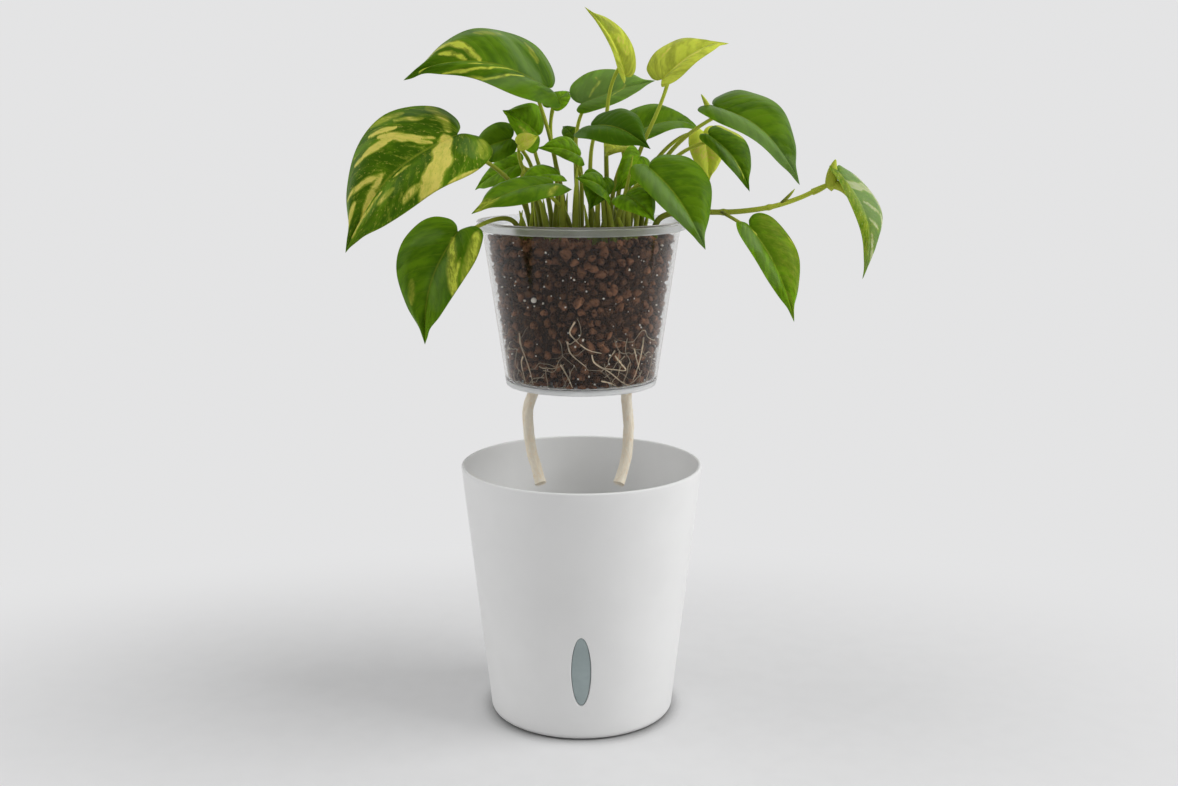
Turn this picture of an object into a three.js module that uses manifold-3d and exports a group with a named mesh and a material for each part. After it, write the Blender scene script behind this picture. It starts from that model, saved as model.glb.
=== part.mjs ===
// Self-watering pot: a white reservoir pot with a water-level window, a clear insert pot that lifts out of it
// on two cotton wicks, and a trailing house plant growing in the insert. Millimetres, +Z up, origin under the
// middle of the reservoir pot's base, window towards -Y.

import * as THREE from 'three';
import { ParametricGeometry } from 'three/addons/geometries/ParametricGeometry.js';
import { mergeVertices } from 'three/addons/utils/BufferGeometryUtils.js';
import Module from 'manifold-3d';

// Reservoir pot
const POT_HEIGHT = 160;
const POT_RIM_RADIUS = 75;
const POT_BASE_RADIUS = 57.5;
const POT_WALL = 2.4;
const POT_FLOOR = 3;
const POT_BASE_ROUND = 4;
const POT_INNER_ROUND = 4;
const POT_LIP_ROUND = 1.1;

// Support ribs moulded inside the reservoir pot: the insert stands on their steps
const SEAT_HEIGHT = 68;
const RIB_COUNT = 6;
const RIB_THICKNESS = 2.5;
const RIB_SEAT_WIDTH = 6;
const RIB_GUIDE_HEIGHT = 8;
const RIB_GUIDE_CLEARANCE = 0.8;
const RIB_ROOT = 1.2;

// Water-level window in the front wall
const WINDOW_WIDTH = 12;
const WINDOW_HEIGHT = 45;
const WINDOW_CENTRE_HEIGHT = 46;
const WINDOW_RECESS = 0.6;
const WINDOW_FLANGE = 3;
const WINDOW_FLANGE_THICKNESS = 1.4;
const SEAL_THICKNESS = 0.8;
const SEAL_MARGIN = 0.4;

// Insert pot
const INSERT_HEIGHT = 100;
const INSERT_BASE_RADIUS = 46.3;
const INSERT_TOP_RADIUS = 60.6;
const INSERT_WALL = 1.5;
const INSERT_FLOOR = 1.8;
const INSERT_INNER_ROUND = 2.5;
const INSERT_LIP_REACH = 2.6;
const INSERT_LIP_DEPTH = 5.3;
const INSERT_LIP_THICKNESS = 1.2;
const FOOT_HEIGHT = 1.6;
const FOOT_WIDTH = 2.4;
const INSERT_LIFT = 142.7;

// Wicks
const WICK_DIAMETER = 6.4;
const WICK_SPREAD = 28.5;
const WICK_STUB = 24;
const WICK_SIDES = 10;
const WICK_STEPS = 12;

// Growing medium
const HEADSPACE = 10;
const MEDIUM_EDGE_ROUND = 2;
const LUMP_DEPTH = 3.2;
const LUMPS_AROUND = 16;
const LUMP_ROWS = 8;
const LUMP_STEPS = 4;

// Plant
const STALK_RADIUS = 1.3;
const STALK_SIDES = 6;
const STALK_STEPS = 7;
const STALK_OVERLAP = 0.12;
const STALK_STIFFNESS = 0.5;
const VINE_RADIUS = 1.8;
const VINE_STEPS = 16;
const BLADE_THICKNESS = 1;
const BLADE_END_FULLNESS = 8;
const BLADE_SLICES = 12;
const BLADE_STACKS = 10;
const HOOK_START = 0.7;

// Clearance kept between pieces that touch, and the faces round each pot
const FIT_GAP = 0.3;
const ROUND_SEGMENTS = 48;
const CUTTER_SEGMENTS = 40;
const ARC_STEPS = 3;
const CUTTER_OVERRUN = 2;
const MERGE_DISTANCE = 1e-4;

const wasm = await Module();
wasm.setup();

// Solids

function signedVolume(positions, index) {
  const a = new THREE.Vector3();
  const b = new THREE.Vector3();
  const c = new THREE.Vector3();
  let sum = 0;
  for (let i = 0; i < index.length; i += 3) {
    a.fromArray(positions, index[i] * 3);
    b.fromArray(positions, index[i + 1] * 3);
    c.fromArray(positions, index[i + 2] * 3);
    sum += a.dot(b.cross(c)) / 6;
  }
  return sum;
}

// A closed solid from a three.js geometry: corners merged, collapsed triangles dropped, faces outwards.
function solid(geometry) {
  const bare = geometry.clone();
  for (const name of Object.keys(bare.attributes)) {
    if (name !== 'position') {
      bare.deleteAttribute(name);
    }
  }
  const merged = mergeVertices(bare, MERGE_DISTANCE);
  const index = [];
  const source = merged.index.array;
  for (let i = 0; i < source.length; i += 3) {
    const [a, b, c] = [source[i], source[i + 1], source[i + 2]];
    if (a !== b && b !== c && c !== a) {
      index.push(a, b, c);
    }
  }
  const positions = merged.attributes.position.array;
  if (signedVolume(positions, index) < 0) {
    index.reverse();
  }
  const mesh = new wasm.Mesh({
    numProp: 3,
    vertProperties: new Float32Array(positions),
    triVerts: new Uint32Array(index),
  });
  mesh.merge();
  return new wasm.Manifold(mesh);
}

function geometryOf(manifold) {
  const mesh = manifold.getMesh();
  const geometry = new THREE.BufferGeometry();
  geometry.setAttribute('position', new THREE.BufferAttribute(mesh.vertProperties, 3));
  geometry.setIndex(new THREE.BufferAttribute(mesh.triVerts, 1));
  geometry.computeVertexNormals();
  return geometry;
}

// A solid of revolution about Z from [radius, height] pairs.
function turned(profile) {
  const points = profile.map(([radius, height]) => new THREE.Vector2(radius, height));
  const geometry = new THREE.LatheGeometry(points, ROUND_SEGMENTS);
  geometry.rotateX(Math.PI / 2);
  return solid(geometry);
}

// Points of a circular arc in a profile, angles in degrees.
function arc(centreRadius, centreHeight, radius, from, to) {
  const points = [];
  for (let i = 0; i <= ARC_STEPS; i += 1) {
    const angle = THREE.MathUtils.degToRad(from + (to - from) * i / ARC_STEPS);
    points.push([centreRadius + radius * Math.cos(angle), centreHeight + radius * Math.sin(angle)]);
  }
  return points;
}

function uprightCylinder(radius, bottom, top, x = 0, y = 0) {
  const geometry = new THREE.CylinderGeometry(radius, radius, top - bottom, CUTTER_SEGMENTS);
  geometry.rotateX(Math.PI / 2);
  geometry.translate(x, y, (top + bottom) / 2);
  return solid(geometry);
}

function tube(curve, radius, sides, steps) {
  const section = new THREE.Shape();
  for (let i = 0; i < sides; i += 1) {
    const angle = 2 * Math.PI * i / sides;
    const [x, y] = [radius * Math.cos(angle), radius * Math.sin(angle)];
    if (i === 0) {
      section.moveTo(x, y);
    } else {
      section.lineTo(x, y);
    }
  }
  return solid(new THREE.ExtrudeGeometry(section, { steps, bevelEnabled: false, extrudePath: curve }));
}

function piece(name, manifold, colour, roughness, options = {}) {
  const material = new THREE.MeshStandardMaterial({ color: colour, roughness, metalness: 0, ...options });
  const mesh = new THREE.Mesh(geometryOf(manifold), material);
  mesh.name = name;
  return mesh;
}

// Tapers shared by the pieces that fit each other

function potOuter(height) {
  return THREE.MathUtils.lerp(POT_BASE_RADIUS, POT_RIM_RADIUS, height / POT_HEIGHT);
}

function potInner(height) {
  return potOuter(height) - POT_WALL;
}

function insertOuter(height) {
  return THREE.MathUtils.lerp(INSERT_BASE_RADIUS, INSERT_TOP_RADIUS, height / INSERT_HEIGHT);
}

function insertInner(height) {
  return insertOuter(height) - INSERT_WALL;
}

const insertFloorTop = FOOT_HEIGHT + INSERT_FLOOR;
const mediumTop = INSERT_HEIGHT - HEADSPACE;
const insertBaseAtRest = SEAT_HEIGHT + FIT_GAP + INSERT_LIFT;

// Reservoir pot

function potShell() {
  const baseArc = arc(potOuter(POT_BASE_ROUND) - POT_BASE_ROUND, POT_BASE_ROUND, POT_BASE_ROUND, -90, 0);
  const lipHeight = POT_HEIGHT - POT_LIP_ROUND;
  const lipArc = arc(potOuter(lipHeight) - POT_LIP_ROUND, lipHeight, POT_LIP_ROUND, 0, 180);
  const innerFoot = POT_FLOOR + POT_INNER_ROUND;
  const floorArc = arc(potInner(innerFoot) - POT_INNER_ROUND, innerFoot, POT_INNER_ROUND, 0, -90);
  return turned([[0, 0], ...baseArc, ...lipArc, ...floorArc, [0, POT_FLOOR]]);
}

function supportRib(angle) {
  const seatOuter = INSERT_BASE_RADIUS + RIB_GUIDE_CLEARANCE;
  const guideTop = SEAT_HEIGHT + RIB_GUIDE_HEIGHT;
  const shelfFoot = POT_FLOOR + POT_INNER_ROUND + RIB_ROOT;
  const outline = new THREE.Shape();
  outline.moveTo(INSERT_BASE_RADIUS - RIB_SEAT_WIDTH, POT_FLOOR - RIB_ROOT);
  outline.lineTo(potInner(POT_FLOOR) - POT_INNER_ROUND, POT_FLOOR - RIB_ROOT);
  outline.lineTo(potInner(shelfFoot) + RIB_ROOT, shelfFoot);
  outline.lineTo(potInner(guideTop) + RIB_ROOT, guideTop);
  outline.lineTo(insertOuter(RIB_GUIDE_HEIGHT) + RIB_GUIDE_CLEARANCE, guideTop);
  outline.lineTo(seatOuter, SEAT_HEIGHT);
  outline.lineTo(INSERT_BASE_RADIUS - RIB_SEAT_WIDTH, SEAT_HEIGHT);
  outline.closePath();
  const geometry = new THREE.ExtrudeGeometry(outline, { depth: RIB_THICKNESS, bevelEnabled: false });
  geometry.translate(0, 0, -RIB_THICKNESS / 2);
  geometry.rotateX(Math.PI / 2);
  geometry.rotateZ(angle);
  return solid(geometry);
}

// An elliptical bar through the front wall, larger than the window by the given margin on every side.
function windowBar(margin) {
  const outline = new THREE.Shape();
  outline.absellipse(0, 0, WINDOW_WIDTH / 2 + margin, WINDOW_HEIGHT / 2 + margin, 0, 2 * Math.PI);
  const depth = POT_RIM_RADIUS;
  const geometry = new THREE.ExtrudeGeometry(outline, {
    depth, bevelEnabled: false, curveSegments: CUTTER_SEGMENTS / 4,
  });
  geometry.rotateX(Math.PI / 2);
  geometry.translate(0, -CUTTER_OVERRUN, WINDOW_CENTRE_HEIGHT);
  return solid(geometry);
}

// The part of a bar that lies between two depths under the pot's outer face.
function betweenDepths(bar, outerDepth, innerDepth) {
  const bottom = WINDOW_CENTRE_HEIGHT - WINDOW_HEIGHT;
  const top = WINDOW_CENTRE_HEIGHT + WINDOW_HEIGHT;
  const cone = (depth) => turned([
    [0, bottom], [potOuter(bottom) - depth, bottom], [potOuter(top) - depth, top], [0, top],
  ]);
  return bar.intersect(cone(outerDepth)).subtract(cone(innerDepth));
}

const sealDepth = POT_WALL + FIT_GAP;
const flangeDepth = sealDepth + SEAL_THICKNESS + FIT_GAP;
const flangeBack = flangeDepth + WINDOW_FLANGE_THICKNESS;

function outerPot() {
  let pot = potShell();
  for (let i = 0; i < RIB_COUNT; i += 1) {
    pot = pot.add(supportRib(2 * Math.PI * i / RIB_COUNT));
  }
  return pot.subtract(windowBar(0));
}

function windowLens() {
  const plug = betweenDepths(windowBar(-FIT_GAP), WINDOW_RECESS, flangeBack);
  const flange = betweenDepths(windowBar(WINDOW_FLANGE), flangeDepth, flangeBack);
  return plug.add(flange);
}

function windowSeal() {
  const ring = windowBar(WINDOW_FLANGE - SEAL_MARGIN).subtract(windowBar(0));
  return betweenDepths(ring, sealDepth, sealDepth + SEAL_THICKNESS);
}

// Insert pot

function wickHole(side, bottom, top) {
  return uprightCylinder(WICK_DIAMETER / 2 + FIT_GAP, bottom, top, side * WICK_SPREAD, 0);
}

function insertPot() {
  const lipRadius = INSERT_TOP_RADIUS + INSERT_LIP_REACH;
  const lipUnder = INSERT_HEIGHT - INSERT_LIP_THICKNESS;
  const lipFoot = INSERT_HEIGHT - INSERT_LIP_DEPTH;
  const skirtInner = lipRadius - INSERT_LIP_THICKNESS;
  const lipRound = INSERT_LIP_THICKNESS / 2;
  const footInner = INSERT_BASE_RADIUS - FOOT_WIDTH;
  const footRound = FOOT_WIDTH / 4;
  const innerFoot = insertFloorTop + INSERT_INNER_ROUND;
  const shell = turned([
    [0, FOOT_HEIGHT],
    [footInner, FOOT_HEIGHT],
    ...arc(footInner + footRound, footRound, footRound, 180, 270),
    ...arc(insertOuter(footRound) - footRound, footRound, footRound, -90, 0),
    [insertOuter(lipUnder), lipUnder],
    [skirtInner, lipUnder],
    [skirtInner, lipFoot],
    [lipRadius, lipFoot],
    ...arc(lipRadius - lipRound, INSERT_HEIGHT - lipRound, lipRound, 0, 90),
    ...arc(insertInner(INSERT_HEIGHT) + lipRound, INSERT_HEIGHT - lipRound, lipRound, 90, 180),
    ...arc(insertInner(innerFoot) - INSERT_INNER_ROUND, innerFoot, INSERT_INNER_ROUND, 0, -90),
    [0, insertFloorTop],
  ]);
  const holes = [-1, 1].map((side) => wickHole(side, -CUTTER_OVERRUN, insertFloorTop + CUTTER_OVERRUN));
  return shell.subtract(holes[0]).subtract(holes[1]);
}

// Wicks: routes from the upper end in the medium, through the floor, down to the cut end. The first number is
// the drift outwards from the hole, and heights count from the insert's foot.
const WICK_ROUTE_LEFT = [
  [0, 0, WICK_STUB], [0, 0, 16], [0, 0, 8], [0, 0, 1], [1, 0, -5], [2.7, 0, -10], [4.1, -0.3, -14.5],
  [4.9, -1, -20.5], [4.6, -2, -27], [4, -3.5, -33], [2.9, -5, -39], [1.7, -7, -45], [-0.3, -9, -51],
  [-2, -11.5, -56.5], [-3.5, -14, -61],
];
const WICK_ROUTE_RIGHT = [
  [0, 0, WICK_STUB], [0, 0, 16], [0, 0, 8], [0, 0, 1], [-0.4, 0, -5], [-0.7, 0, -10], [-0.2, -0.3, -14.5],
  [0.4, -1, -20.5], [0.8, -2, -27], [0.5, -3.5, -33], [0.3, -5, -39], [-0.5, -7, -45], [-2.1, -9, -51],
  [-3.7, -11.5, -56.5], [-5.3, -14, -61],
];

function wick(route, side) {
  const points = route.map(([drift, y, z]) => new THREE.Vector3(side * (WICK_SPREAD + drift), y, z));
  return tube(new THREE.CatmullRomCurve3(points), WICK_DIAMETER / 2, WICK_SIDES, WICK_STEPS);
}

// Growing medium: the plug of granules, with a channel round each wick's upper end. Its wall stands in
// staggered rows of lumps, whose crowns lie along the insert's wall.

function growingMedium() {
  const bottom = insertFloorTop + FIT_GAP;
  const innerFoot = insertFloorTop + INSERT_INNER_ROUND;
  const edgeHeight = mediumTop - MEDIUM_EDGE_ROUND;
  const edgeRadius = insertInner(edgeHeight) - FIT_GAP - MEDIUM_EDGE_ROUND;
  const rowHeight = (edgeHeight - innerFoot) / LUMP_ROWS;
  const wall = [];
  const levels = LUMP_ROWS * LUMP_STEPS / 2;
  for (let i = 1; i < levels; i += 1) {
    const height = THREE.MathUtils.lerp(innerFoot, edgeHeight, i / levels);
    wall.push([insertInner(height) - FIT_GAP, height]);
  }
  const profile = [
    [0, bottom],
    ...arc(insertInner(innerFoot) - INSERT_INNER_ROUND, innerFoot, INSERT_INNER_ROUND - FIT_GAP, -90, 0),
    ...wall,
    ...arc(edgeRadius, edgeHeight, MEDIUM_EDGE_ROUND, 0, 90),
    [0, mediumTop],
  ];
  const stacks = profile.length - 1;
  const surface = (u, v, target) => {
    const [radius, height] = profile[Math.round(v * stacks)];
    const angle = 2 * Math.PI * u;
    const swell = Math.cos(LUMPS_AROUND * angle) * Math.cos(Math.PI * (height - innerFoot) / rowHeight);
    const reach = Math.max(0, radius - LUMP_DEPTH * (1 - swell) / 2);
    target.set(reach * Math.cos(angle), reach * Math.sin(angle), height);
  };
  const plug = solid(new ParametricGeometry(surface, LUMPS_AROUND * LUMP_STEPS, stacks));
  const channels = [-1, 1].map((side) => wickHole(side, bottom - CUTTER_OVERRUN, WICK_STUB + FIT_GAP));
  return plug.subtract(channels[0]).subtract(channels[1]);
}

// Plant. Leaf places count from the middle of the medium's top.

// Half outline of a heart-shaped blade, from its notch round the lobe to the tip: [along, across] as shares
// of the blade's length and width, and the midrib point that each one hangs on.
const BLADE_MARGIN = [
  [0, 0], [-0.055, 0.07], [-0.085, 0.19], [-0.06, 0.35], [0.04, 0.46], [0.23, 0.5], [0.48, 0.43], [0.72, 0.25],
  [0.86, 0.09], [0.94, 0.035], [1, 0],
];
const BLADE_MIDRIB = [0, 0.005, 0.02, 0.05, 0.15, 0.31, 0.52, 0.72, 0.86, 0.94, 1];

const marginCurve = new THREE.SplineCurve(BLADE_MARGIN.map((point) => new THREE.Vector2(...point)));
const midribCurve = new THREE.SplineCurve(BLADE_MIDRIB.map((along) => new THREE.Vector2(along, 0)));

// The blade's own axes: along the chord, out of its face and across it.
function bladeAxes(leaf) {
  const attach = new THREE.Vector3(...leaf.attach);
  const along = new THREE.Vector3(...leaf.tip).sub(attach);
  const length = along.length();
  along.normalize();
  const face = new THREE.Vector3(...leaf.face);
  face.addScaledVector(along, -face.dot(along)).normalize();
  const across = new THREE.Vector3().crossVectors(face, along);
  return { attach, along, face, across, length };
}

// A point of the blade's middle surface: share along the chord, offset across in millimetres.
function bladePoint(leaf, axes, share, offset) {
  const hump = axes.length * Math.sin(Math.PI * share);
  const skewed = offset * (1 + leaf.skew * Math.sign(offset));
  const curl = leaf.hook * axes.length * Math.max(0, (share - HOOK_START) / (1 - HOOK_START)) ** 2;
  const rise = leaf.bow * hump + Math.abs(skewed) * Math.tan(THREE.MathUtils.degToRad(leaf.fold));
  return axes.attach.clone()
    .addScaledVector(axes.along, axes.length * share)
    .addScaledVector(axes.across, skewed + leaf.swerve * hump + curl)
    .addScaledVector(axes.face, rise);
}

function blade(leaf, axes) {
  const surface = (u, v, target) => {
    const turn = 2 * Math.PI * u;
    const side = Math.cos(turn);
    const margin = marginCurve.getPoint(v);
    const midrib = midribCurve.getPoint(v);
    const share = THREE.MathUtils.lerp(midrib.x, margin.x, Math.abs(side));
    const fullness = Math.min(1, BLADE_END_FULLNESS * v * (1 - v));
    const half = BLADE_THICKNESS / 2 * Math.sin(turn) * fullness;
    target.copy(bladePoint(leaf, axes, share, side * margin.y * leaf.width));
    target.addScaledVector(axes.face, half);
  };
  return solid(new ParametricGeometry(surface, BLADE_SLICES, BLADE_STACKS));
}

function stalk(leaf, axes) {
  const root = new THREE.Vector3(...leaf.root);
  const end = bladePoint(leaf, axes, STALK_OVERLAP, 0).addScaledVector(axes.face, -STALK_RADIUS / 2);
  const reach = root.distanceTo(end);
  const rootHandle = root.clone().addScaledVector(new THREE.Vector3(...leaf.rise), reach * STALK_STIFFNESS);
  const endHandle = end.clone()
    .addScaledVector(axes.along, -reach * leaf.trail)
    .addScaledVector(axes.face, -reach * leaf.drop);
  const curve = new THREE.CubicBezierCurve3(root, rootHandle, endHandle, end);
  return tube(curve, STALK_RADIUS, STALK_SIDES, STALK_STEPS);
}

const DARK = 0x2f5a24;
const MID = 0x4f8030;
const LIME = 0x9bbb3a;
const CREAM = 0xb9c47e;
const LEAF_ROUGHNESS = 0.45;

const UP = [0, 0, 1];
const BED = FIT_GAP;

// Each leaf: where its stalk stands, where the stalk meets the blade, the tip, the side that the face looks
// to, the blade's width, the bow of its midrib out of the face and its swerve across it, the skew by which one
// half is wider, the hook of the tip, the fold along the midrib in degrees, and how the stalk leaves its root
// and comes in under the blade.
const LEAVES = [
  {
    name: 'leaf_runner_hanging', colour: MID, root: [84, -12.2, 15.3], rise: [0, -1, 0],
    trail: 0.3, drop: 0.1,
    attach: [99.5, -20, 8], tip: [126, -31, -48],
    face: [0.45, -0.8, 0.35], width: 31, bow: 0.1, skew: 0.2, fold: 12,
  },
  {
    name: 'leaf_runner_tip', colour: CREAM, root: [140.3, -8, 28.2], rise: [0.9, 0.09, 0.42],
    attach: [153.5, -8, 38], tip: [168, -18, -24],
    face: [0.75, -0.55, 0.3], width: 32, bow: 0.17, skew: 0.15, fold: 10,
  },
  {
    name: 'leaf_upper_left', colour: DARK, root: [-12, 6, BED], attach: [-20, 2, 88], tip: [-103, -22, 95],
    face: [-0.1, -0.65, 0.75], width: 60, bow: 0.14, swerve: -0.03, skew: -0.3, hook: 0.06, fold: 4,
  },
  {
    name: 'leaf_left_variegated', colour: CREAM, root: [-30, -12, BED], attach: [-72, -22, 61],
    tip: [-136, -42, -6], face: [-0.3, -0.82, 0.48], width: 71, bow: 0.13, swerve: -0.05, skew: -0.08, fold: 4,
  },
  {
    name: 'leaf_lower_left', colour: DARK, root: [-36, -26, BED], attach: [-69, -62, 8], tip: [-88, -70, -55],
    face: [-0.25, -0.93, 0.2], width: 44, bow: 0.06, swerve: -0.08, skew: -0.15, fold: 6,
  },
  {
    name: 'leaf_top_spear', colour: LIME, root: [16, 8, BED], attach: [26, 8, 96], tip: [2, -8, 134],
    face: [0.6, -0.75, 0.2], width: 16, bow: 0.06, swerve: -0.06, skew: -0.3, fold: 24,
  },
  {
    name: 'leaf_top_right', colour: LIME, root: [26, 0, BED], attach: [48, -6, 93], tip: [88, 8, 114],
    face: [-0.2, -0.5, 0.84], width: 33, bow: 0.12, skew: 0.1, fold: 18,
  },
  {
    name: 'leaf_right_upper', colour: DARK, root: [36, -2, BED], attach: [79, -4, 77], tip: [128, -24, 32],
    face: [0.3, -0.6, 0.74], width: 45, bow: 0.2, swerve: -0.06, skew: 0.27, fold: 8,
  },
  {
    name: 'leaf_right_mid', colour: DARK, root: [36, 12, BED], attach: [78, 18, 60], tip: [103, 14, 26],
    face: [0.3, -0.6, 0.7], width: 28, bow: 0.1, swerve: 0.03, skew: 0.2, fold: 10,
  },
  {
    name: 'leaf_right_pale', colour: LIME, root: [30, 22, BED], attach: [76, 35, 62], tip: [80, 39, 30],
    face: [0.3, -0.9, 0.2], width: 24, bow: 0.08, fold: 10,
  },
  {
    name: 'leaf_right_front', colour: DARK, root: [20, -20, BED], attach: [39, -42, 43], tip: [70, -66, -2],
    face: [0.25, -0.7, 0.65], width: 41, bow: 0.1, skew: 0.25, fold: 8,
  },
  {
    name: 'leaf_centre_back', colour: MID, root: [-2, 18, BED], attach: [0, 26, 79], tip: [46, 40, 93],
    face: [0, -0.9, 0.4], width: 25, bow: 0.06, skew: 0.33, fold: 8,
  },
  {
    name: 'leaf_centre_dark', colour: DARK, root: [6, -14, BED], attach: [6, -18, 66], tip: [40, -40, 53],
    face: [0, -0.6, 0.8], width: 38, bow: 0.14, fold: 8,
  },
  {
    name: 'leaf_left_light', colour: MID, root: [-18, 14, BED], attach: [-26, 14, 60], tip: [-47, 2, 75],
    face: [0.3, -0.8, 0.5], width: 32, bow: 0.08, fold: 8,
  },
  {
    name: 'leaf_small_upper', colour: MID, root: [-10, 22, BED], attach: [-18, 16, 77], tip: [-7, 32, 86],
    face: [0, -0.6, 0.8], width: 16, bow: 0.1, fold: 10,
  },
  {
    name: 'leaf_left_mid', colour: DARK, root: [-26, 16, BED], attach: [-43, 20, 58], tip: [-70, 30, 45],
    face: [-0.2, -0.8, 0.5], width: 27, bow: 0.1, fold: 8,
  },
  {
    name: 'leaf_left_small', colour: LIME, root: [-24, 0, BED], attach: [-37, -8, 55], tip: [-25, -6, 60],
    face: [-0.2, -0.9, 0.3], width: 11, bow: 0.08, fold: 10,
  },
  {
    name: 'leaf_front_left', colour: DARK, root: [-6, -22, BED], attach: [-17, -34, 33], tip: [-61, -66, 18],
    face: [-0.1, -0.45, 0.88], width: 36, bow: 0.08, skew: 0.2, fold: 8,
  },
  {
    name: 'leaf_left_low', colour: MID, root: [-30, 28, BED], attach: [-39, 34, 42], tip: [-68, 50, 25],
    face: [-0.2, -0.7, 0.6], width: 22, bow: 0.08, fold: 8,
  },
  {
    name: 'leaf_front_centre', colour: DARK, root: [10, -30, BED], attach: [14, -47, 30], tip: [-3, -64, 38],
    face: [0, -0.8, 0.6], width: 20, bow: 0.1, skew: 0.2, fold: 10,
  },
  {
    name: 'leaf_right_back', colour: DARK, root: [18, 28, BED], attach: [34, 32, 62], tip: [77, 54, 61],
    face: [0, -0.6, 0.8], width: 30, bow: 0.17, skew: 0.3, fold: 8,
  },
  {
    name: 'leaf_front_right', colour: MID, root: [28, -28, BED], attach: [26, -40, 27], tip: [42, -58, 13],
    face: [0.2, -0.8, 0.5], width: 24, bow: 0.1, fold: 10,
  },
  {
    name: 'leaf_centre_band', colour: MID, root: [8, 2, BED], attach: [-1, 1, 48], tip: [-26, -12, 53],
    face: [0, -0.75, 0.65], width: 20, bow: 0.12, fold: 10,
  },
  {
    name: 'leaf_centre_small', colour: DARK, root: [0, 34, BED], attach: [-4, 36, 58], tip: [-12, 46, 65],
    face: [0, -0.7, 0.7], width: 12, bow: 0.1, fold: 10,
  },
  {
    name: 'leaf_centre_under', colour: LIME, root: [20, -6, BED], attach: [26, 4, 54], tip: [14, -10, 48],
    face: [0, -0.5, 0.85], width: 20, bow: 0.1, fold: 10,
  },
  {
    name: 'leaf_left_inner', colour: MID, root: [-16, -10, BED], attach: [-13, -10, 37], tip: [-37, -22, 33],
    face: [0, -0.5, 0.86], width: 22, bow: 0.1, fold: 10,
  },
];

// The runner: a stem that leaves over the insert's rim, with a hanging leaf and a leaf at its end.
const VINE_ROUTE = [
  [44, -10, BED], [44, -10, 6], [47, -10, 11.5], [54, -10, 14.5], [65, -10, 15.3], [87, -10, 15.3],
  [102, -10, 16.5], [116, -10, 19], [130, -9, 23.5], [140, -8, 28],
];

function leafSolid(leaf) {
  const axes = bladeAxes(leaf);
  return blade(leaf, axes).add(stalk(leaf, axes));
}

function plantPieces() {
  const pieces = [];
  for (const leaf of LEAVES) {
    const settled = { swerve: 0, skew: 0, hook: 0, rise: UP, trail: 0.15, drop: 0.3, ...leaf };
    pieces.push(piece(leaf.name, leafSolid(settled), leaf.colour, LEAF_ROUGHNESS));
  }
  const vine = new THREE.CatmullRomCurve3(VINE_ROUTE.map((point) => new THREE.Vector3(...point)));
  pieces.push(piece('runner_vine', tube(vine, VINE_RADIUS, STALK_SIDES, VINE_STEPS), LIME, LEAF_ROUGHNESS));
  return pieces;
}

// Assembly

const rootBall = new THREE.Group();
rootBall.position.z = mediumTop;
rootBall.add(...plantPieces());

const insert = new THREE.Group();
insert.position.z = insertBaseAtRest;
insert.add(
  piece('insert_pot', insertPot(), 0xe9eeee, 0.15, { transparent: true, opacity: 0.35 }),
  piece('wick_left', wick(WICK_ROUTE_LEFT, -1), 0xe6dcc6, 0.95),
  piece('wick_right', wick(WICK_ROUTE_RIGHT, 1), 0xe6dcc6, 0.95),
  piece('growing_medium', growingMedium(), 0x4a3a30, 0.9),
  rootBall,
);

const selfWateringPot = new THREE.Group();
selfWateringPot.add(
  piece('outer_pot', outerPot(), 0xf2f2f0, 0.45),
  piece('window_lens', windowLens(), 0x8a9594, 0.2, { transparent: true, opacity: 0.6 }),
  piece('window_seal', windowSeal(), 0x3a3d3d, 0.8),
  insert,
);

export default selfWateringPot;
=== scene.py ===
"""Self-watering pot: a white reservoir pot with a water-level window, and above it a clear insert that
holds a trailing plant and feeds it through two cotton wicks. Laid out as an add-on, and run as a script.
"""

import math
from dataclasses import dataclass

import bmesh
import bpy
import numpy as np
from bpy.props import FloatProperty, FloatVectorProperty, IntProperty, PointerProperty
from mathutils import Matrix, Vector


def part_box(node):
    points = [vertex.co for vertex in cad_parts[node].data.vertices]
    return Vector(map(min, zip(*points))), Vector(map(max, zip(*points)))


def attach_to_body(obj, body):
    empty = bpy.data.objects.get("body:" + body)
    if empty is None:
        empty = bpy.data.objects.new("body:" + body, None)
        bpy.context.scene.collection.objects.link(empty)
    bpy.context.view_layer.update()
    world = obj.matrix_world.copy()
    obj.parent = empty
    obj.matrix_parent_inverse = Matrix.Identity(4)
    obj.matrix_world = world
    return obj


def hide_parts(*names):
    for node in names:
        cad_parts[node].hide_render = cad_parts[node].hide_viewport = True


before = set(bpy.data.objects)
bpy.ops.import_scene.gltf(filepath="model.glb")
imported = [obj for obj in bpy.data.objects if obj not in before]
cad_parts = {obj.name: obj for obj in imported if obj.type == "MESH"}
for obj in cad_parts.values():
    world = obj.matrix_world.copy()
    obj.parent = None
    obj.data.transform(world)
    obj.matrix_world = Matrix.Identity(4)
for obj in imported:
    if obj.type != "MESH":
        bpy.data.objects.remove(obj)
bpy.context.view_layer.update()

bl_info = {
    "name": "Self-watering Pot",
    "version": (1, 0, 0),
    "blender": (4, 5, 0),
    "location": "3D View > Sidebar > Watering Pot",
    "description": "Builds a self-watering pot with its insert, wicks and plant around a fixed frame",
    "category": "Add Mesh",
}

MM = 0.001
TURN = 2 * math.pi
POT_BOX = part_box("outer_pot")
INSERT_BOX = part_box("insert_pot")
MEDIUM_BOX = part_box("growing_medium")


# Settings


def length(name, description, millimetres):
    """A size property, given in millimetres and kept in metres."""
    return FloatProperty(
        name=name, description=description, default=millimetres * MM, unit="LENGTH", precision=5
    )


def colour(name, description, red, green, blue):
    """A linear colour property."""
    return FloatVectorProperty(
        name=name, description=description, default=(red, green, blue), subtype="COLOR", min=0, max=1
    )


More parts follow.
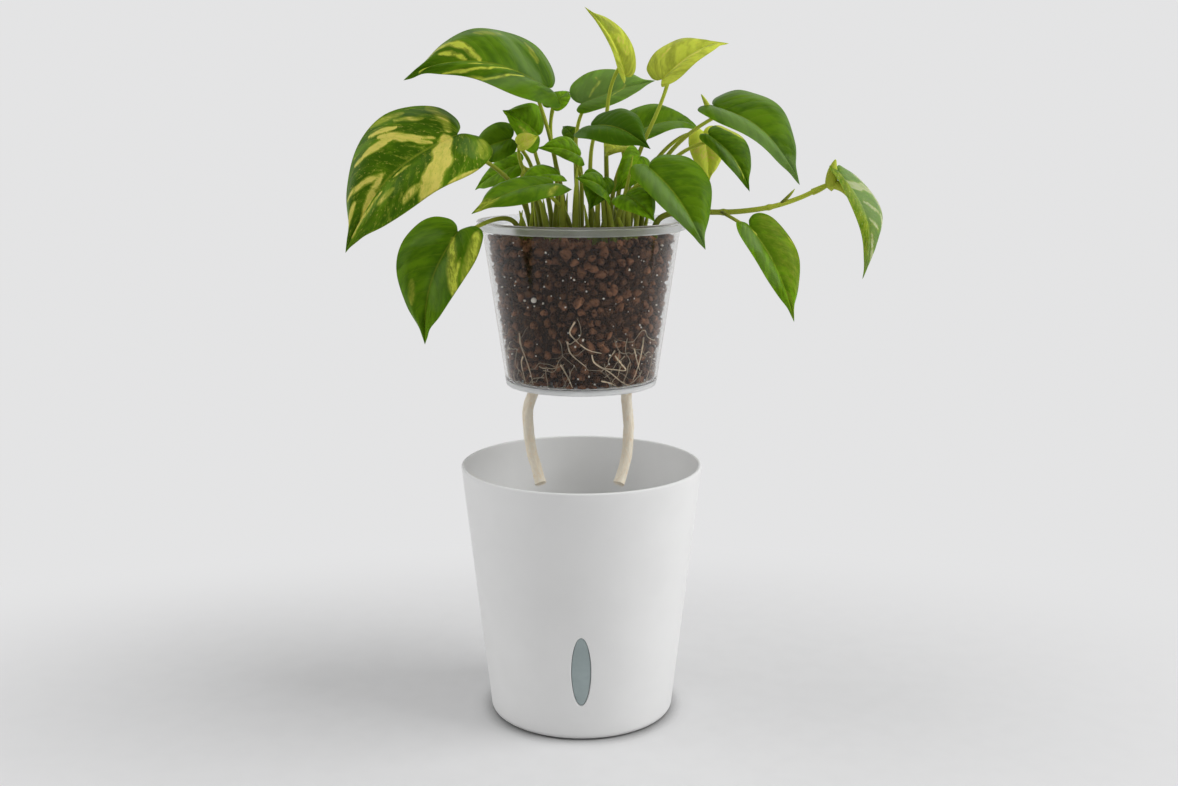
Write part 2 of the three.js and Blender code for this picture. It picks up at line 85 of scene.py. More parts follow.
class ReservoirSettings(bpy.types.PropertyGroup):
    """Sizes and colours of the outer pot and its window."""

    height: length("Height", "Height of the outer pot", POT_BOX[1].z / MM)
    rim_radius: length("Rim radius", "Outer radius at the rim", 75)
    base_radius: length("Base radius", "Outer radius at the base", 57.5)
    wall: length("Wall", "Thickness of the wall", 2.4)
    floor: length("Floor", "Thickness of the floor", 3)
    base_round: length("Base round", "Radius of the edge at the base, outside and inside", 4)
    lip_round: length("Lip round", "Radius of the rolled lip", 1.1)
    seat_height: length("Seat height", "Height at which the ribs carry the insert", 68)
    rib_count: IntProperty(name="Ribs", description="Number of support ribs", default=6)
    rib_thickness: length("Rib thickness", "Thickness of a support rib", 2.5)
    rib_seat: length("Rib seat", "Radial width of the seat on a rib", 6)
    rib_guide: length("Rib guide", "Height of a rib's guide above its seat", 8)
    rib_clearance: length("Rib clearance", "Play between the insert and the guides", 0.8)
    rib_root: length("Rib root", "Depth by which a rib is rooted in the wall", 1.2)
    window_width: length("Window width", "Width of the water-level window", 12)
    window_height: length("Window height", "Height of the water-level window", 45)
    window_centre: length("Window centre", "Height of the window's middle", 46)
    window_recess: length("Window recess", "Depth of the lens under the wall's face", 0.6)
    window_flange: length("Window flange", "Reach of the lens flange behind the wall", 3)
    fit_gap: length("Fit gap", "Gap between fitted pieces", 0.3)
    plastic: colour("Plastic", "White of the outer pot", 0.90, 0.90, 0.895)
    tint: colour("Window tint", "Grey-teal of the window", 0.43, 0.515, 0.52)
    rubber: colour("Seal", "Colour of the window seal", 0.06, 0.062, 0.065)


class InsertSettings(bpy.types.PropertyGroup):
    """Sizes and colours of the clear insert."""

    base_radius: length("Base radius", "Outer radius at the foot", 46.3)
    top_radius: length("Top radius", "Outer radius of the wall at the top", 60.6)
    wall: length("Wall", "Thickness of the wall", 1.5)
    floor: length("Floor", "Thickness of the floor", 1.8)
    foot_height: length("Foot height", "Height of the foot ring", 1.6)
    foot_width: length("Foot width", "Width of the foot ring", 2.4)
    inner_round: length("Inner round", "Radius where wall and floor meet inside", 2.5)
    lip_reach: length("Lip reach", "Reach of the lip beyond the wall", 2.6)
    lip_depth: length("Lip depth", "Height of the lip's skirt", 5.3)
    lip_thickness: length("Lip thickness", "Thickness of the lip", 1.2)
    plastic: colour("Plastic", "Colour of the clear plastic", 0.96, 0.97, 0.97)


class WickSettings(bpy.types.PropertyGroup):
    """Sizes and colours of the wicks."""

    diameter: length("Diameter", "Diameter of a wick", 6.4)
    spread: length("Spread", "Distance of each wick hole from the middle", 28.5)
    left_length: length("Left length", "Length of the left wick with its stub", 89)
    right_length: length("Right length", "Length of the right wick with its stub", 88)
    lay: length("Lay", "Length in which the strands turn once", 70)
    cotton: colour("Cotton", "Cream of the cotton", 1.0, 0.915, 0.755)
    # The ochre of the worn streaks, also used for the shade painted into the valleys between strands.
    cotton_shade: colour("Cotton shade", "Ochre of the worn cotton", 0.88, 0.68, 0.45)


class MediumSettings(bpy.types.PropertyGroup):
    """Sizes and colours of the growing medium."""

    crumb: length("Crumb", "Largest crumb between the granules", 2.4)
    small_granule: length("Small granule", "Smallest granule", 5.2)
    large_granule: length("Large granule", "Largest granule", 9.8)
    wall_gap: length("Wall gap", "Gap between granules and the insert", 0.25)
    headspace: length("Headspace", "Depth of the medium's top under the insert's rim", 10)
    speck_count: IntProperty(name="Specks", description="Number of pale specks", default=220)
    root_count: IntProperty(name="Roots", description="Number of fine roots", default=90)
    root_radius: length("Root radius", "Radius of a fine root", 0.3)
    bark: colour("Bark", "Darkest bark", 0.19, 0.084, 0.043)
    bark_red: colour("Red bark", "Reddest bark", 0.38, 0.172, 0.088)
    bark_tan: colour("Tan bark", "Palest bark", 0.54, 0.295, 0.16)
    speck: colour("Speck", "Pale mineral specks", 1.0, 0.93, 0.83)
    root: colour("Root", "Cream of the fine roots", 0.86, 0.68, 0.46)


class PlantSettings(bpy.types.PropertyGroup):
    """Sizes and colours of the plant."""

    stalk_root_radius: length("Stalk root", "Radius of a leaf stalk at its root", 1.75)
    stalk_end_radius: length("Stalk end", "Radius of a leaf stalk at the blade", 1.05)
    vine_radius: length("Vine radius", "Radius of the runner", 1.8)
    blade_thickness: length("Blade thickness", "Thickness of a leaf at its midrib", 0.8)
    vein_count: IntProperty(name="Veins", description="Side veins on each half of a leaf", default=9)
    quilting: length("Quilting", "Height of the swelling between side veins", 0.32)
    groove: length("Groove", "Depth of the groove along the midrib", 0.45)
    dark: colour("Dark leaf", "Deep green of an old leaf", 0.050, 0.122, 0.002)
    mid: colour("Mid leaf", "Green of a grown leaf", 0.135, 0.272, 0.005)
    lime: colour("Young leaf", "Lime green of a young leaf", 0.56, 0.63, 0.066)
    cream: colour("Cream", "Cream of the variegation", 0.76, 0.67, 0.14)
    ivory: colour("Ivory", "Ivory of the runner tip's variegation", 0.88, 0.83, 0.55)
    # Grey green of the painted sheen, a reflection painted onto the leaves.
    wax: colour("Wax", "Grey green of the waxy bloom", 0.24, 0.36, 0.14)
    stem: colour("Stem", "Yellow green of the stalks", 0.56, 0.64, 0.064)
    # The stalks' darker root: partly their brown, partly shade painted among the leaves and the medium.
    stem_root: colour("Stem root", "Brown green of the stalks' roots", 0.12, 0.14, 0.016)


class StageSettings(bpy.types.PropertyGroup):
    """Camera, floor and light."""

    camera_x: length("Camera X", "Camera place across", 4.7)
    camera_y: length("Camera Y", "Camera place along", -851)
    camera_z: length("Camera Z", "Camera height", 374)
    pitch: FloatProperty(
        name="Pitch",
        description="Camera pitch below the horizon",
        default=math.radians(11.29),
        subtype="ANGLE",
    )
    lens: FloatProperty(name="Lens", description="Focal length", default=42.78, unit="CAMERA")
    floor: colour("Floor", "Colour of the floor", 0.82, 0.82, 0.825)
    backdrop: colour("Backdrop", "Colour far behind the pot", 0.775, 0.775, 0.78)


class WateringPotSettings(bpy.types.PropertyGroup):
    """All settings of the self-watering pot."""

    reservoir: PointerProperty(type=ReservoirSettings)
    insert: PointerProperty(type=InsertSettings)
    wick: PointerProperty(type=WickSettings)
    medium: PointerProperty(type=MediumSettings)
    plant: PointerProperty(type=PlantSettings)
    stage: PointerProperty(type=StageSettings)


# Curves


def spline(points, shares):
    """Points at those shares, from 0 to 1, of a uniform Catmull-Rom curve through the given points."""
    points = np.asarray(points, float)
    spans = len(points) - 1
    place = np.clip(np.asarray(shares, float), 0, 1) * spans
    index = np.minimum(place.astype(int), spans - 1)
    t = (place - index)[:, None]
    start = points[index]
    end = points[index + 1]
    leave = (end - points[np.maximum(index - 1, 0)]) / 2
    arrive = (points[np.minimum(index + 2, spans)] - start) / 2
    cubic = 2 * start - 2 * end + leave + arrive
    square = 3 * end - 3 * start - 2 * leave - arrive
    return ((cubic * t + square) * t + leave) * t + start


CURVE_STEPS = 40


def even_path(points, step):
    """The curve through the given points, as points about one step apart."""
    fine = spline(points, np.linspace(0, 1, CURVE_STEPS * len(points)))
    run = np.concatenate(([0], np.cumsum(np.linalg.norm(np.diff(fine, axis=0), axis=1))))
    wanted = np.linspace(0, run[-1], max(3, round(run[-1] / step) + 1))
    return np.column_stack([np.interp(wanted, run, fine[:, axis]) for axis in range(3)])


def bezier(start, start_handle, end_handle, end, count):
    """Points of a cubic Bezier curve."""
    t = np.linspace(0, 1, count)[:, None]
    s = 1 - t
    return s**3 * start + 3 * s**2 * t * start_handle + 3 * s * t**2 * end_handle + t**3 * end


def unit(vector):
    """The vector, or each row of vectors, at length one."""
    vector = np.asarray(vector, float)
    return vector / np.linalg.norm(vector, axis=-1, keepdims=True)


def path_frames(path):
    """The direction of a path and two directions square to it at each point, which turn as little as
    they can."""
    tangents = unit(np.gradient(path, axis=0))
    helper = np.eye(3)[np.argmin(np.abs(tangents[0]))]
    first = [unit(np.cross(tangents[0], helper))]
    for tangent in tangents[1:]:
        first.append(unit(first[-1] - tangent * np.dot(first[-1], tangent)))
    first = np.array(first)
    return tangents, first, np.cross(tangents, first)


def once_round(count):
    """That many even angles round a circle."""
    return np.linspace(0, TURN, count, endpoint=False)


def round_axis(radius, angle, height):
    """A point at an angle round the upright axis."""
    return np.array([radius * math.cos(angle), radius * math.sin(angle), height])


def smooth_step(value, low, high):
    """0 below low, 1 above high, and smooth between."""
    t = np.clip((value - low) / (high - low), 0, 1)
    return t * t * (3 - 2 * t)


# Forms


# Angle in degrees above which an edge stays sharp.
SHARP_EDGE = 40


def grid_faces(rows, columns, closed=False):
    """Quads between the points of a grid, whose rows are closed or open."""
    faces = []
    for row in range(rows - 1):
        for column in range(columns if closed else columns - 1):
            after = (column + 1) % columns
            low = row * columns
            faces.append((low + column, low + after, low + columns + after, low + columns + column))
    return faces


def capped_faces(rows, columns):
    """Quads of a grid with closed rows, and a fan at each end to its pole, a corner after the grid's."""
    faces = grid_faces(rows, columns, closed=True)
    count = rows * columns
    last = count - columns
    for side in range(columns):
        after = (side + 1) % columns
        faces.append((after, side, count))
        faces.append((last + side, last + after, count + 1))
    return faces


class Form:
    """Corners, faces, finishes and named values of one mesh while it is made."""

    def __init__(self):
        self.corners = []
        self.faces = []
        self.finishes = []
        self.values = {}
        self.count = 0

    def add(self, corners, faces, finish=0, **values):
        """Adds one part, with a value or a row of values for each corner under each name."""
        corners = np.asarray(corners, float)
        self.corners.append(corners)
        self.faces.extend(tuple(self.count + corner for corner in face) for face in faces)
        self.finishes.extend([finish] * len(faces))
        for name, value in values.items():
            value = np.asarray(value, float)
            wide = (len(corners), 3) if name == "place" else (len(corners),)
            self.values.setdefault(name, []).append(np.broadcast_to(value, wide))
        self.count += len(corners)

    def tube(self, path, radii, sides, finish=0, bulge=0.5, seed=0.0, stretch=(0.0, 1.0), **values):
        """Adds a closed tube along a path. Its place value is the share along, which runs over the
        stretch, the share around and the seed."""
        path = np.asarray(path, float)
        radii = np.asarray(radii, float)
        radii = np.broadcast_to(radii if radii.ndim == 2 else radii.reshape(-1, 1), (len(path), sides))
        tangents, first, second = path_frames(path)
        turn = once_round(sides)
        ring = np.cos(turn)[None, :, None] * first[:, None] + np.sin(turn)[None, :, None] * second[:, None]
        wall = (path[:, None] + radii[:, :, None] * ring).reshape(-1, 3)
        start = path[0] - tangents[0] * radii[0].mean() * bulge
        end = path[-1] + tangents[-1] * radii[-1].mean() * bulge
        share = np.linspace(*stretch, len(path))
        place = np.stack(np.meshgrid(share, turn / TURN, [seed], indexing="ij"), -1).reshape(-1, 3)
        place = np.vstack([place, [[stretch[0], 0, seed], [stretch[1], 0, seed]]])
        faces = capped_faces(len(path), sides)
        self.add(np.vstack([wall, start, end]), faces, finish, place=place, **values)

    def turned(self, profile, segments):
        """Adds a solid of revolution about Z from radius and height pairs that start and end on the
        axis."""
        rims = np.array(profile[1:-1])
        turn = once_round(segments)
        wall = np.empty((len(rims), segments, 3))
        wall[:, :, 0] = rims[:, :1] * np.cos(turn)
        wall[:, :, 1] = rims[:, :1] * np.sin(turn)
        wall[:, :, 2] = rims[:, 1:]
        poles = [[0, 0, profile[0][1]], [0, 0, profile[-1][1]]]
        self.add(np.vstack([wall.reshape(-1, 3), poles]), capped_faces(len(rims), segments))

    def piece(self, name, materials, merge=0.0, sharp=SHARP_EDGE):
        """Makes the object, with its faces outwards, smooth apart from edges sharper than that angle."""
        mesh = bpy.data.meshes.new(name)
        mesh.from_pydata(np.concatenate(self.corners), [], self.faces)
        mesh.polygons.foreach_set("material_index", self.finishes)
        for key, rows in self.values.items():
            rows = np.concatenate(rows)
            kind, field = ("FLOAT_VECTOR", "vector") if rows.ndim == 2 else ("FLOAT", "value")
            attribute = mesh.attributes.new(key, kind, "POINT")
            attribute.data.foreach_set(field, rows.astype(np.float32).ravel())
        for material in materials:
            mesh.materials.append(material)
        work = bmesh.new()
        work.from_mesh(mesh)
        if merge:
            bmesh.ops.remove_doubles(work, verts=work.verts, dist=merge)
        bmesh.ops.recalc_face_normals(work, faces=work.faces)
        work.to_mesh(mesh)
        work.free()
        mesh.shade_smooth()
        mesh.set_sharp_from_angle(angle=math.radians(sharp))
        made = bpy.data.objects.new(name, mesh)
        bpy.context.scene.collection.objects.link(made)
        return made


def arc(centre_radius, centre_height, radius, start, end, steps=6):
    """Points of a circular arc in a profile, with angles in degrees."""
    angles = np.radians(np.linspace(start, end, steps + 1))
    return [(centre_radius + radius * math.cos(a), centre_height + radius * math.sin(a)) for a in angles]


def between(start, end, count):
    """Evenly spaced points inside the line from start to end of a profile."""
    start, end = np.asarray(start, float), np.asarray(end, float)
    return [tuple(start + (end - start) * i / (count + 1)) for i in range(1, count + 1)]


def carve(target, tools, operation="DIFFERENCE"):
    """Cuts the tools out of the target, or joins them to it, and removes them."""
    for tool in tools:
        step = target.modifiers.new("carve", "BOOLEAN")
        step.operation = operation
        step.solver = "EXACT"
        step.object = tool
    made = bpy.data.meshes.new_from_object(target.evaluated_get(bpy.context.evaluated_depsgraph_get()))
    target.modifiers.clear()
    target.data = made
    made.shade_smooth()
    made.set_sharp_from_angle(angle=math.radians(SHARP_EDGE))
    for tool in tools:
        bpy.data.objects.remove(tool)


def settle(piece, body, slot, *nodes):
    """Lets a piece ride on its body and hides the solids that it stands for; its finish slot is not used."""
    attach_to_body(piece, body)
    if nodes:
        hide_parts(*nodes)


# Shader graphs


class Graph:
    """Adds nodes to one shader tree and wires them."""

    def __init__(self, tree):
        self.tree = tree

    def feed(self, socket, value):
        """Links a socket, or sets its value."""
        if isinstance(value, bpy.types.NodeSocket):
            self.tree.links.new(value, socket)
        elif socket.type == "RGBA" and len(value) == 3:
            socket.default_value = (*value, 1)
        else:
            socket.default_value = value

    def add(self, kind, wires=None, **settings):
        """A new node with its settings, and its inputs fed by name or number."""
        made = self.tree.nodes.new("ShaderNode" + kind)
        for key, value in settings.items():
            setattr(made, key, value)
        for socket, value in (wires or {}).items():
            self.feed(made.inputs[socket], value)
        return made

    def math(self, operation, *values):
        """The result of a Math node."""
        return self.add("Math", dict(enumerate(values)), operation=operation).outputs[0]

    def times(self, first, second):
        """The product of two values."""
        return self.math("MULTIPLY", first, second)

    def mix(self, factor, first, second):
        """A mix of two colours."""
        return self.add("Mix", {0: factor, 6: first, 7: second}, data_type="RGBA").outputs[2]

    def step(self, value, low, high, first=0.0, second=1.0):
        """A smooth step between two values."""
        wires = {"Value": value, "From Min": low, "From Max": high, "To Min": first, "To Max": second}
        return self.add("MapRange", wires, interpolation_type="SMOOTHSTEP").outputs[0]

    def noise(self, vector, scale, detail, roughness):
        """The value of a noise texture."""
        wires = {"Vector": vector, "Scale": scale, "Detail": detail, "Roughness": roughness}
        return self.add("TexNoise", wires).outputs[0]

    def parts(self, vector):
        """The X, Y and Z of a vector."""
        return self.add("SeparateXYZ", {0: vector}).outputs

    def attribute(self, name, output="Fac"):
        """A named value of the mesh."""
        return self.add("Attribute", attribute_name=name).outputs[output]

    def place(self):
        """The coordinates of the object."""
        return self.add("TexCoord").outputs["Object"]

    def group(self, build, **wires):
        """The outputs of a shared effect, which is named for its function and built on its first use. Its
        inputs are fed by their names in small letters."""
        name = build.__name__.replace("_", " ").capitalize()
        made = self.add("Group", node_tree=bpy.data.node_groups.get(name) or build(name))
        for label, value in wires.items():
            self.feed(made.inputs[label.capitalize()], value)
        return made.outputs

    def bump(self, height, strength, distance):
        """A normal from a height."""
        wires = {"Strength": strength, "Distance": distance, "Height": height}
        return self.add("Bump", wires).outputs[0]


SOCKETS = {"value": "NodeSocketFloat", "colour": "NodeSocketColor", "vector": "NodeSocketVector"}


def effect(name, inputs, outputs):
    """A new shader node group: its graph, its inputs and a function that feeds its outputs and ends it."""
    tree = bpy.data.node_groups.new(name, "ShaderNodeTree")
    for way, sockets in (("INPUT", inputs), ("OUTPUT", outputs)):
        for label, kind in sockets.items():
            tree.interface.new_socket(name=label, in_out=way, socket_type=SOCKETS[kind])
    source = tree.nodes.new("NodeGroupInput")
    result = tree.nodes.new("NodeGroupOutput")
    graph = Graph(tree)

    def deliver(**results):
        for label, value in results.items():
            graph.feed(result.inputs[label], value)
        return tree

    return graph, source.outputs, deliver


def moulded_grain(name):
    """The fine spark-eroded grain of moulded plastic and rubber, with faint cloudiness."""
    graph, given, deliver = effect(
        name,
        {"Place": "vector", "Grain": "value", "Cloud": "value", "Colour": "colour", "Shade": "colour"},
        {"Colour": "colour", "Roughness": "value", "Height": "value"},
    )
    smoothest, by_cloud, by_grain = 0.38, 0.08, 0.14
    fine = graph.noise(given["Place"], given["Grain"], detail=3.0, roughness=0.6)
    broad = graph.noise(given["Place"], given["Cloud"], detail=3.0, roughness=0.55)
    cloud = graph.step(broad, 0.3, 0.75)
    colour_made = graph.mix(cloud, given["Colour"], given["Shade"])
    clouded = graph.math("MULTIPLY_ADD", cloud, by_cloud, smoothest)
    rough = graph.math("MULTIPLY_ADD", fine, by_grain, clouded)
    return deliver(Colour=colour_made, Roughness=rough, Height=fine)


def fibre_streaks(name):
    """Streaks that run along a tube, for cotton, roots and stems."""
    graph, given, deliver = effect(
        name,
        {"Place": "vector", "Along": "value", "Around": "value", "Twist": "value"},
        {"Streak": "value", "Blotch": "value"},
    )
    seed_shift = 7.3
    along, around, seed = graph.parts(given["Place"])[:3]
    turn = graph.math("MULTIPLY_ADD", along, given["Twist"], around)
    angle = graph.times(turn, TURN)
    x = graph.times(graph.math("COSINE", angle), given["Around"])
    y = graph.times(graph.math("SINE", angle), given["Around"])
    z = graph.math("MULTIPLY_ADD", seed, seed_shift, graph.times(along, given["Along"]))
    spot = graph.add("CombineXYZ", {0: x, 1: y, 2: z}).outputs[0]
    streak = graph.noise(spot, scale=1.0, detail=3.0, roughness=0.6)
    blotch = graph.noise(spot, scale=0.31, detail=2.0, roughness=0.5)
    return deliver(Streak=streak, Blotch=blotch)


def leaf_lines(name):
    """Midrib, side veins and the fine net of a leaf, from its place along, across and seed."""
    graph, given, deliver = effect(
        name,
        {"Place": "vector", "Veins": "value"},
        {"Midrib": "value", "Veins": "value", "Run": "vector", "Height": "value"},
    )
    stretch_along, stretch_across, vein_depth = 30.0, 7.0, -0.5
    along, across, seed = graph.parts(given["Place"])[:3]
    reach = graph.math("ABSOLUTE", across)
    sweep = graph.times(graph.math("POWER", reach, VEIN_CURVE), VEIN_SWEEP)
    run = graph.math("SUBTRACT", along, sweep)
    phase = graph.times(graph.times(run, given["Veins"]), math.pi)
    line = graph.math("ABSOLUTE", graph.math("SINE", phase))
    fade = graph.step(reach, 0.98, 0.6)
    side = graph.times(graph.step(line, 0.2, 0.0), fade)
    midrib = graph.step(reach, 0.034, 0.006)
    x = graph.times(run, stretch_along)
    y = graph.times(across, stretch_across)
    spot = graph.add("CombineXYZ", {0: x, 1: y, 2: seed}).outputs[0]
    net = graph.noise(spot, scale=2.6, detail=2.0, roughness=0.6)
    height = graph.math("MULTIPLY_ADD", side, vein_depth, net)
    return deliver(Midrib=midrib, Veins=side, Run=spot, Height=height)


def leaf_colouring(name):
    """The colour of a leaf: mottled green with paler veins, cream patches with ragged edges, flecks, a
    sheen that is a grey-green reflection painted into the colour, and a dark margin."""
    values = ("Cream", "Bloom", "Lift", "Under", "Veins", "Fleck")
    colours = ("Deep", "Fresh", "Vein", "Patch", "Wax")
    graph, given, deliver = effect(
        name,
        {"Place": "vector", **dict.fromkeys(values, "value"), **dict.fromkeys(colours, "colour")},
        {"Colour": "colour", "Roughness": "value", "Height": "value"},
    )
    deep, fresh, vein, patch, wax = (given[name] for name in colours)
    lines = graph.group(leaf_lines, place=given["Place"], veins=given["Veins"])
    midrib_share, vein_share, halo_share, sheen_share, pale_under = 0.4, 0.09, 0.75, 0.8, 0.4
    brush_swing, edge_swing, most_swing = 1.1, 3.4, 1.7
    smoothest, by_mottle = 0.32, 0.16

    def brushed(scale, detail, roughness):
        """Noise that runs along the side veins."""
        return graph.noise(lines["Run"], scale, detail, roughness)

    mottle = brushed(0.22, 3.0, 0.55)
    strokes = graph.math("SUBTRACT", brushed(0.85, 4.0, 0.65), 0.5)
    # The lift moves each leaf's green towards its fresh green or away from it: partly the leaf's own green,
    # partly light and shade painted onto the whole leaf.
    lively = graph.math("ADD", graph.step(mottle, 0.32, 0.72), given["Lift"])
    lively = graph.math("MULTIPLY_ADD", strokes, brush_swing, lively)
    green = graph.mix(lively, deep, fresh)
    side_veins = graph.times(lines["Veins"], vein_share)
    veined = graph.math("MULTIPLY_ADD", lines["Midrib"], midrib_share, side_veins)
    green = graph.mix(veined, green, vein)
    ragged = graph.math("SUBTRACT", brushed(0.75, 5.0, 0.66), 0.5)
    swing = graph.math("MINIMUM", graph.times(given["Cream"], edge_swing), most_swing)
    grown = graph.math("MULTIPLY_ADD", ragged, swing, given["Cream"])
    halo = graph.times(graph.step(grown, 0.04, 0.44), halo_share)
    clouds = graph.step(brushed(0.9, 4.0, 0.65), 0.42, 0.72, 0.0, 0.55)
    cloudy = graph.mix(clouds, patch, vein)
    dots = graph.step(brushed(3.4, 1.0, 0.5), 0.72, 0.8, 0.0, 0.7)
    cloudy = graph.mix(dots, cloudy, fresh)
    green = graph.mix(halo, green, vein)
    tinted = graph.mix(graph.step(grown, 0.38, 0.6), green, cloudy)
    blush = graph.times(graph.step(brushed(1.15, 4.0, 0.7), 0.52, 0.7), given["Fleck"])
    tinted = graph.mix(blush, tinted, vein)
    fleck = graph.times(graph.step(brushed(2.6, 2.0, 0.5), 0.65, 0.75), given["Fleck"])
    tinted = graph.mix(fleck, tinted, patch)
    # Painted sheen: a grey-green reflection mixed into the colour where its strokes lie.
    sheened = graph.mix(graph.times(given["Bloom"], sheen_share), tinted, wax)
    reach = graph.math("ABSOLUTE", graph.parts(given["Place"])[1])
    edged = graph.mix(graph.step(reach, 0.955, 1.0, 0.0, 0.6), sheened, deep)
    pale = graph.mix(pale_under, edged, vein)
    both = graph.mix(given["Under"], edged, pale)
    rough = graph.math("MULTIPLY_ADD", mottle, by_mottle, smoothest)
    return deliver(Colour=both, Roughness=rough, Height=lines["Height"])


def crumb_tone(name):
    """Broken colour of mineral and bark crumbs: a base that varies, shade painted into the hollows of its
    bump, and a dusty cast.
    """
    graph, given, deliver = effect(
        name,
        {"Place": "vector", "Scale": "value", "Colour": "colour", "Pit": "colour", "Dust": "colour"},
        {"Colour": "colour", "Height": "value"},
    )
    finer = 3.7
    rough = graph.noise(given["Place"], given["Scale"], detail=4.0, roughness=0.65)
    fine_scale = graph.times(given["Scale"], finer)
    fine = graph.noise(given["Place"], fine_scale, detail=2.0, roughness=0.5)
    # Painted shade: darker where the bump's height is low, in its hollows.
    hollow_shaded = graph.mix(graph.step(rough, 0.54, 0.34), given["Colour"], given["Pit"])
    dusty = graph.mix(graph.step(fine, 0.52, 0.74, 0.0, 0.55), hollow_shaded, given["Dust"])
    return deliver(Colour=dusty, Height=rough)


# Materials


def finish(name, build, *values):
    """The material of that name, whose graph is built on its first use."""
    made = bpy.data.materials.get(name)
    if made is None:
        made = bpy.data.materials.new(name)
        made.use_nodes = True
        made.node_tree.nodes.clear()
        graph = Graph(made.node_tree)
        surface = build(graph, *values)
        graph.add("OutputMaterial", {"Surface": surface})
    return made


def shaded(graph, **wires):
    """A Principled shader fed by socket names whose spaces are underscores."""
    made = graph.add("BsdfPrincipled")
    for name, value in wires.items():
        graph.feed(made.inputs[name.replace("_", " ")], value)
    return made.outputs[0]


def scaled(colour_value, factor):
    """A colour at another brightness."""
    return tuple(min(1.0, channel * factor) for channel in colour_value)


def moulded(graph, tone, shade, grain, cloud, relief, **wires):
    """A moulded piece with its grain, in a tone that clouds to a shade. Relief is the grain's strength and
    depth."""
    skin = graph.group(
        moulded_grain, place=graph.place(), grain=grain, cloud=cloud, colour=tone, shade=shade
    )
    wires = {"Base_Color": skin["Colour"], "Roughness": skin["Roughness"], **wires}
    return shaded(graph, Normal=graph.bump(skin["Height"], *relief), **wires)


def white_plastic(graph, tone):
    """Satin white polypropylene."""
    shade, relief = scaled(tone, 0.965), (0.10, 0.2 * MM)
    return moulded(graph, tone, shade, grain=2600.0, cloud=22.0, relief=relief, IOR=1.49)


def tinted_window(graph, tone):
    """Grey-teal translucent plastic."""
    shade, relief = scaled(tone, 0.86), (0.04, 0.2 * MM)
    return moulded(graph, tone, shade, grain=1800.0, cloud=60.0, relief=relief, Roughness=0.24,
                   Transmission_Weight=0.12, IOR=1.49)


def seal_rubber(graph, tone):
    """Matt dark rubber."""
    shade, relief = scaled(tone, 1.5), (0.25, 0.3 * MM)
    return moulded(graph, tone, shade, grain=1500.0, cloud=80.0, relief=relief, Roughness=0.75)


def clear_plastic(graph, tone, foot, lip):
    """Clear plastic that lets light through to what it holds, hazier where its foot and its lip are
    thick."""
    soft, clearest, by_haze = 1 * MM, 0.025, 0.34
    place = graph.place()
    grain = graph.group(
        moulded_grain, place=place, grain=420.0, cloud=26.0, colour=tone, shade=scaled(tone, 0.93)
    )
    height = graph.parts(place)[2]
    low = graph.step(height, foot + soft, foot)
    high = graph.step(height, lip - soft, lip)
    haze = graph.math("MULTIPLY_ADD", graph.math("MAXIMUM", low, high), by_haze, clearest)
    edge_on = graph.add("LayerWeight", {"Blend": 0.28}).outputs["Facing"]
    milky = graph.mix(graph.step(edge_on, 0.3, 1.0, 0.0, 0.55), grain["Colour"], scaled(tone, 0.62))
    skin = graph.bump(grain["Height"], strength=0.02, distance=0.3 * MM)
    body = shaded(graph, Base_Color=milky, Roughness=haze, Transmission_Weight=1.0, IOR=1.22, Normal=skin,
                  Sheen_Weight=0.5, Sheen_Roughness=0.32, Sheen_Tint=(0.92, 0.83, 0.75))
    return lit_through(graph, body, tone)


def lit_through(graph, body, tone):
    """The shader of a clear body that lets light through to what is behind it."""
    open_way = graph.add("BsdfTransparent", {"Color": tone}).outputs[0]
    shadow = graph.add("LightPath").outputs["Is Shadow Ray"]
    return graph.add("MixShader", {0: shadow, 1: body, 2: open_way}).outputs[0]


def milky_plastic(graph, tone):
    """The thick foot of the clear moulding, which scatters light."""
    milk, shade, relief = scaled(tone, 0.97), scaled(tone, 0.88), (0.05, 0.3 * MM)
    return moulded(graph, milk, shade, grain=420.0, cloud=40.0, relief=relief, Roughness=0.42,
                   Transmission_Weight=0.4, IOR=1.3)


def rolled_lip(graph, tone):
    """The rolled lip of the clear moulding, which scatters a little light."""
    shade, relief = scaled(tone, 0.9), (0.03, 0.3 * MM)
    body = moulded(graph, tone, shade, grain=420.0, cloud=40.0, relief=relief, Roughness=0.1,
                   Transmission_Weight=0.86, IOR=1.24)
    return lit_through(graph, body, tone)


def cotton_rope(graph, tone, shade):
    """Soft twisted cotton, with shade painted into the valleys between its strands, and darker worn streaks.
    """
    valley_shade_share, dirt_share = 0.35, 0.75
    place = graph.attribute("place", "Vector")
    streaks = graph.group(fibre_streaks, place=place, along=38.0, around=2.4, twist=1.2)
    blotch = graph.step(streaks["Blotch"], 0.42, 0.7)
    dirt = graph.times(blotch, graph.step(streaks["Streak"], 0.4, 0.62))
    dirt = graph.times(dirt, dirt_share)
    valley = graph.times(graph.attribute("valley"), valley_shade_share)
    fibre = graph.mix(graph.step(streaks["Streak"], 0.35, 0.7), scaled(tone, 0.94), tone)
    # Painted shade in the valleys between the strands and real ochre dirt in the worn streaks, mixed to one
    # colour.
    marked_tone = graph.mix(graph.math("MAXIMUM", valley, dirt), fibre, shade)
    skin = graph.bump(streaks["Streak"], strength=0.5, distance=0.6 * MM)
    return shaded(graph, Base_Color=marked_tone, Roughness=0.9, Normal=skin, Sheen_Weight=0.5,
                  Sheen_Roughness=0.6, Sheen_Tint=(1.0, 0.94, 0.84))


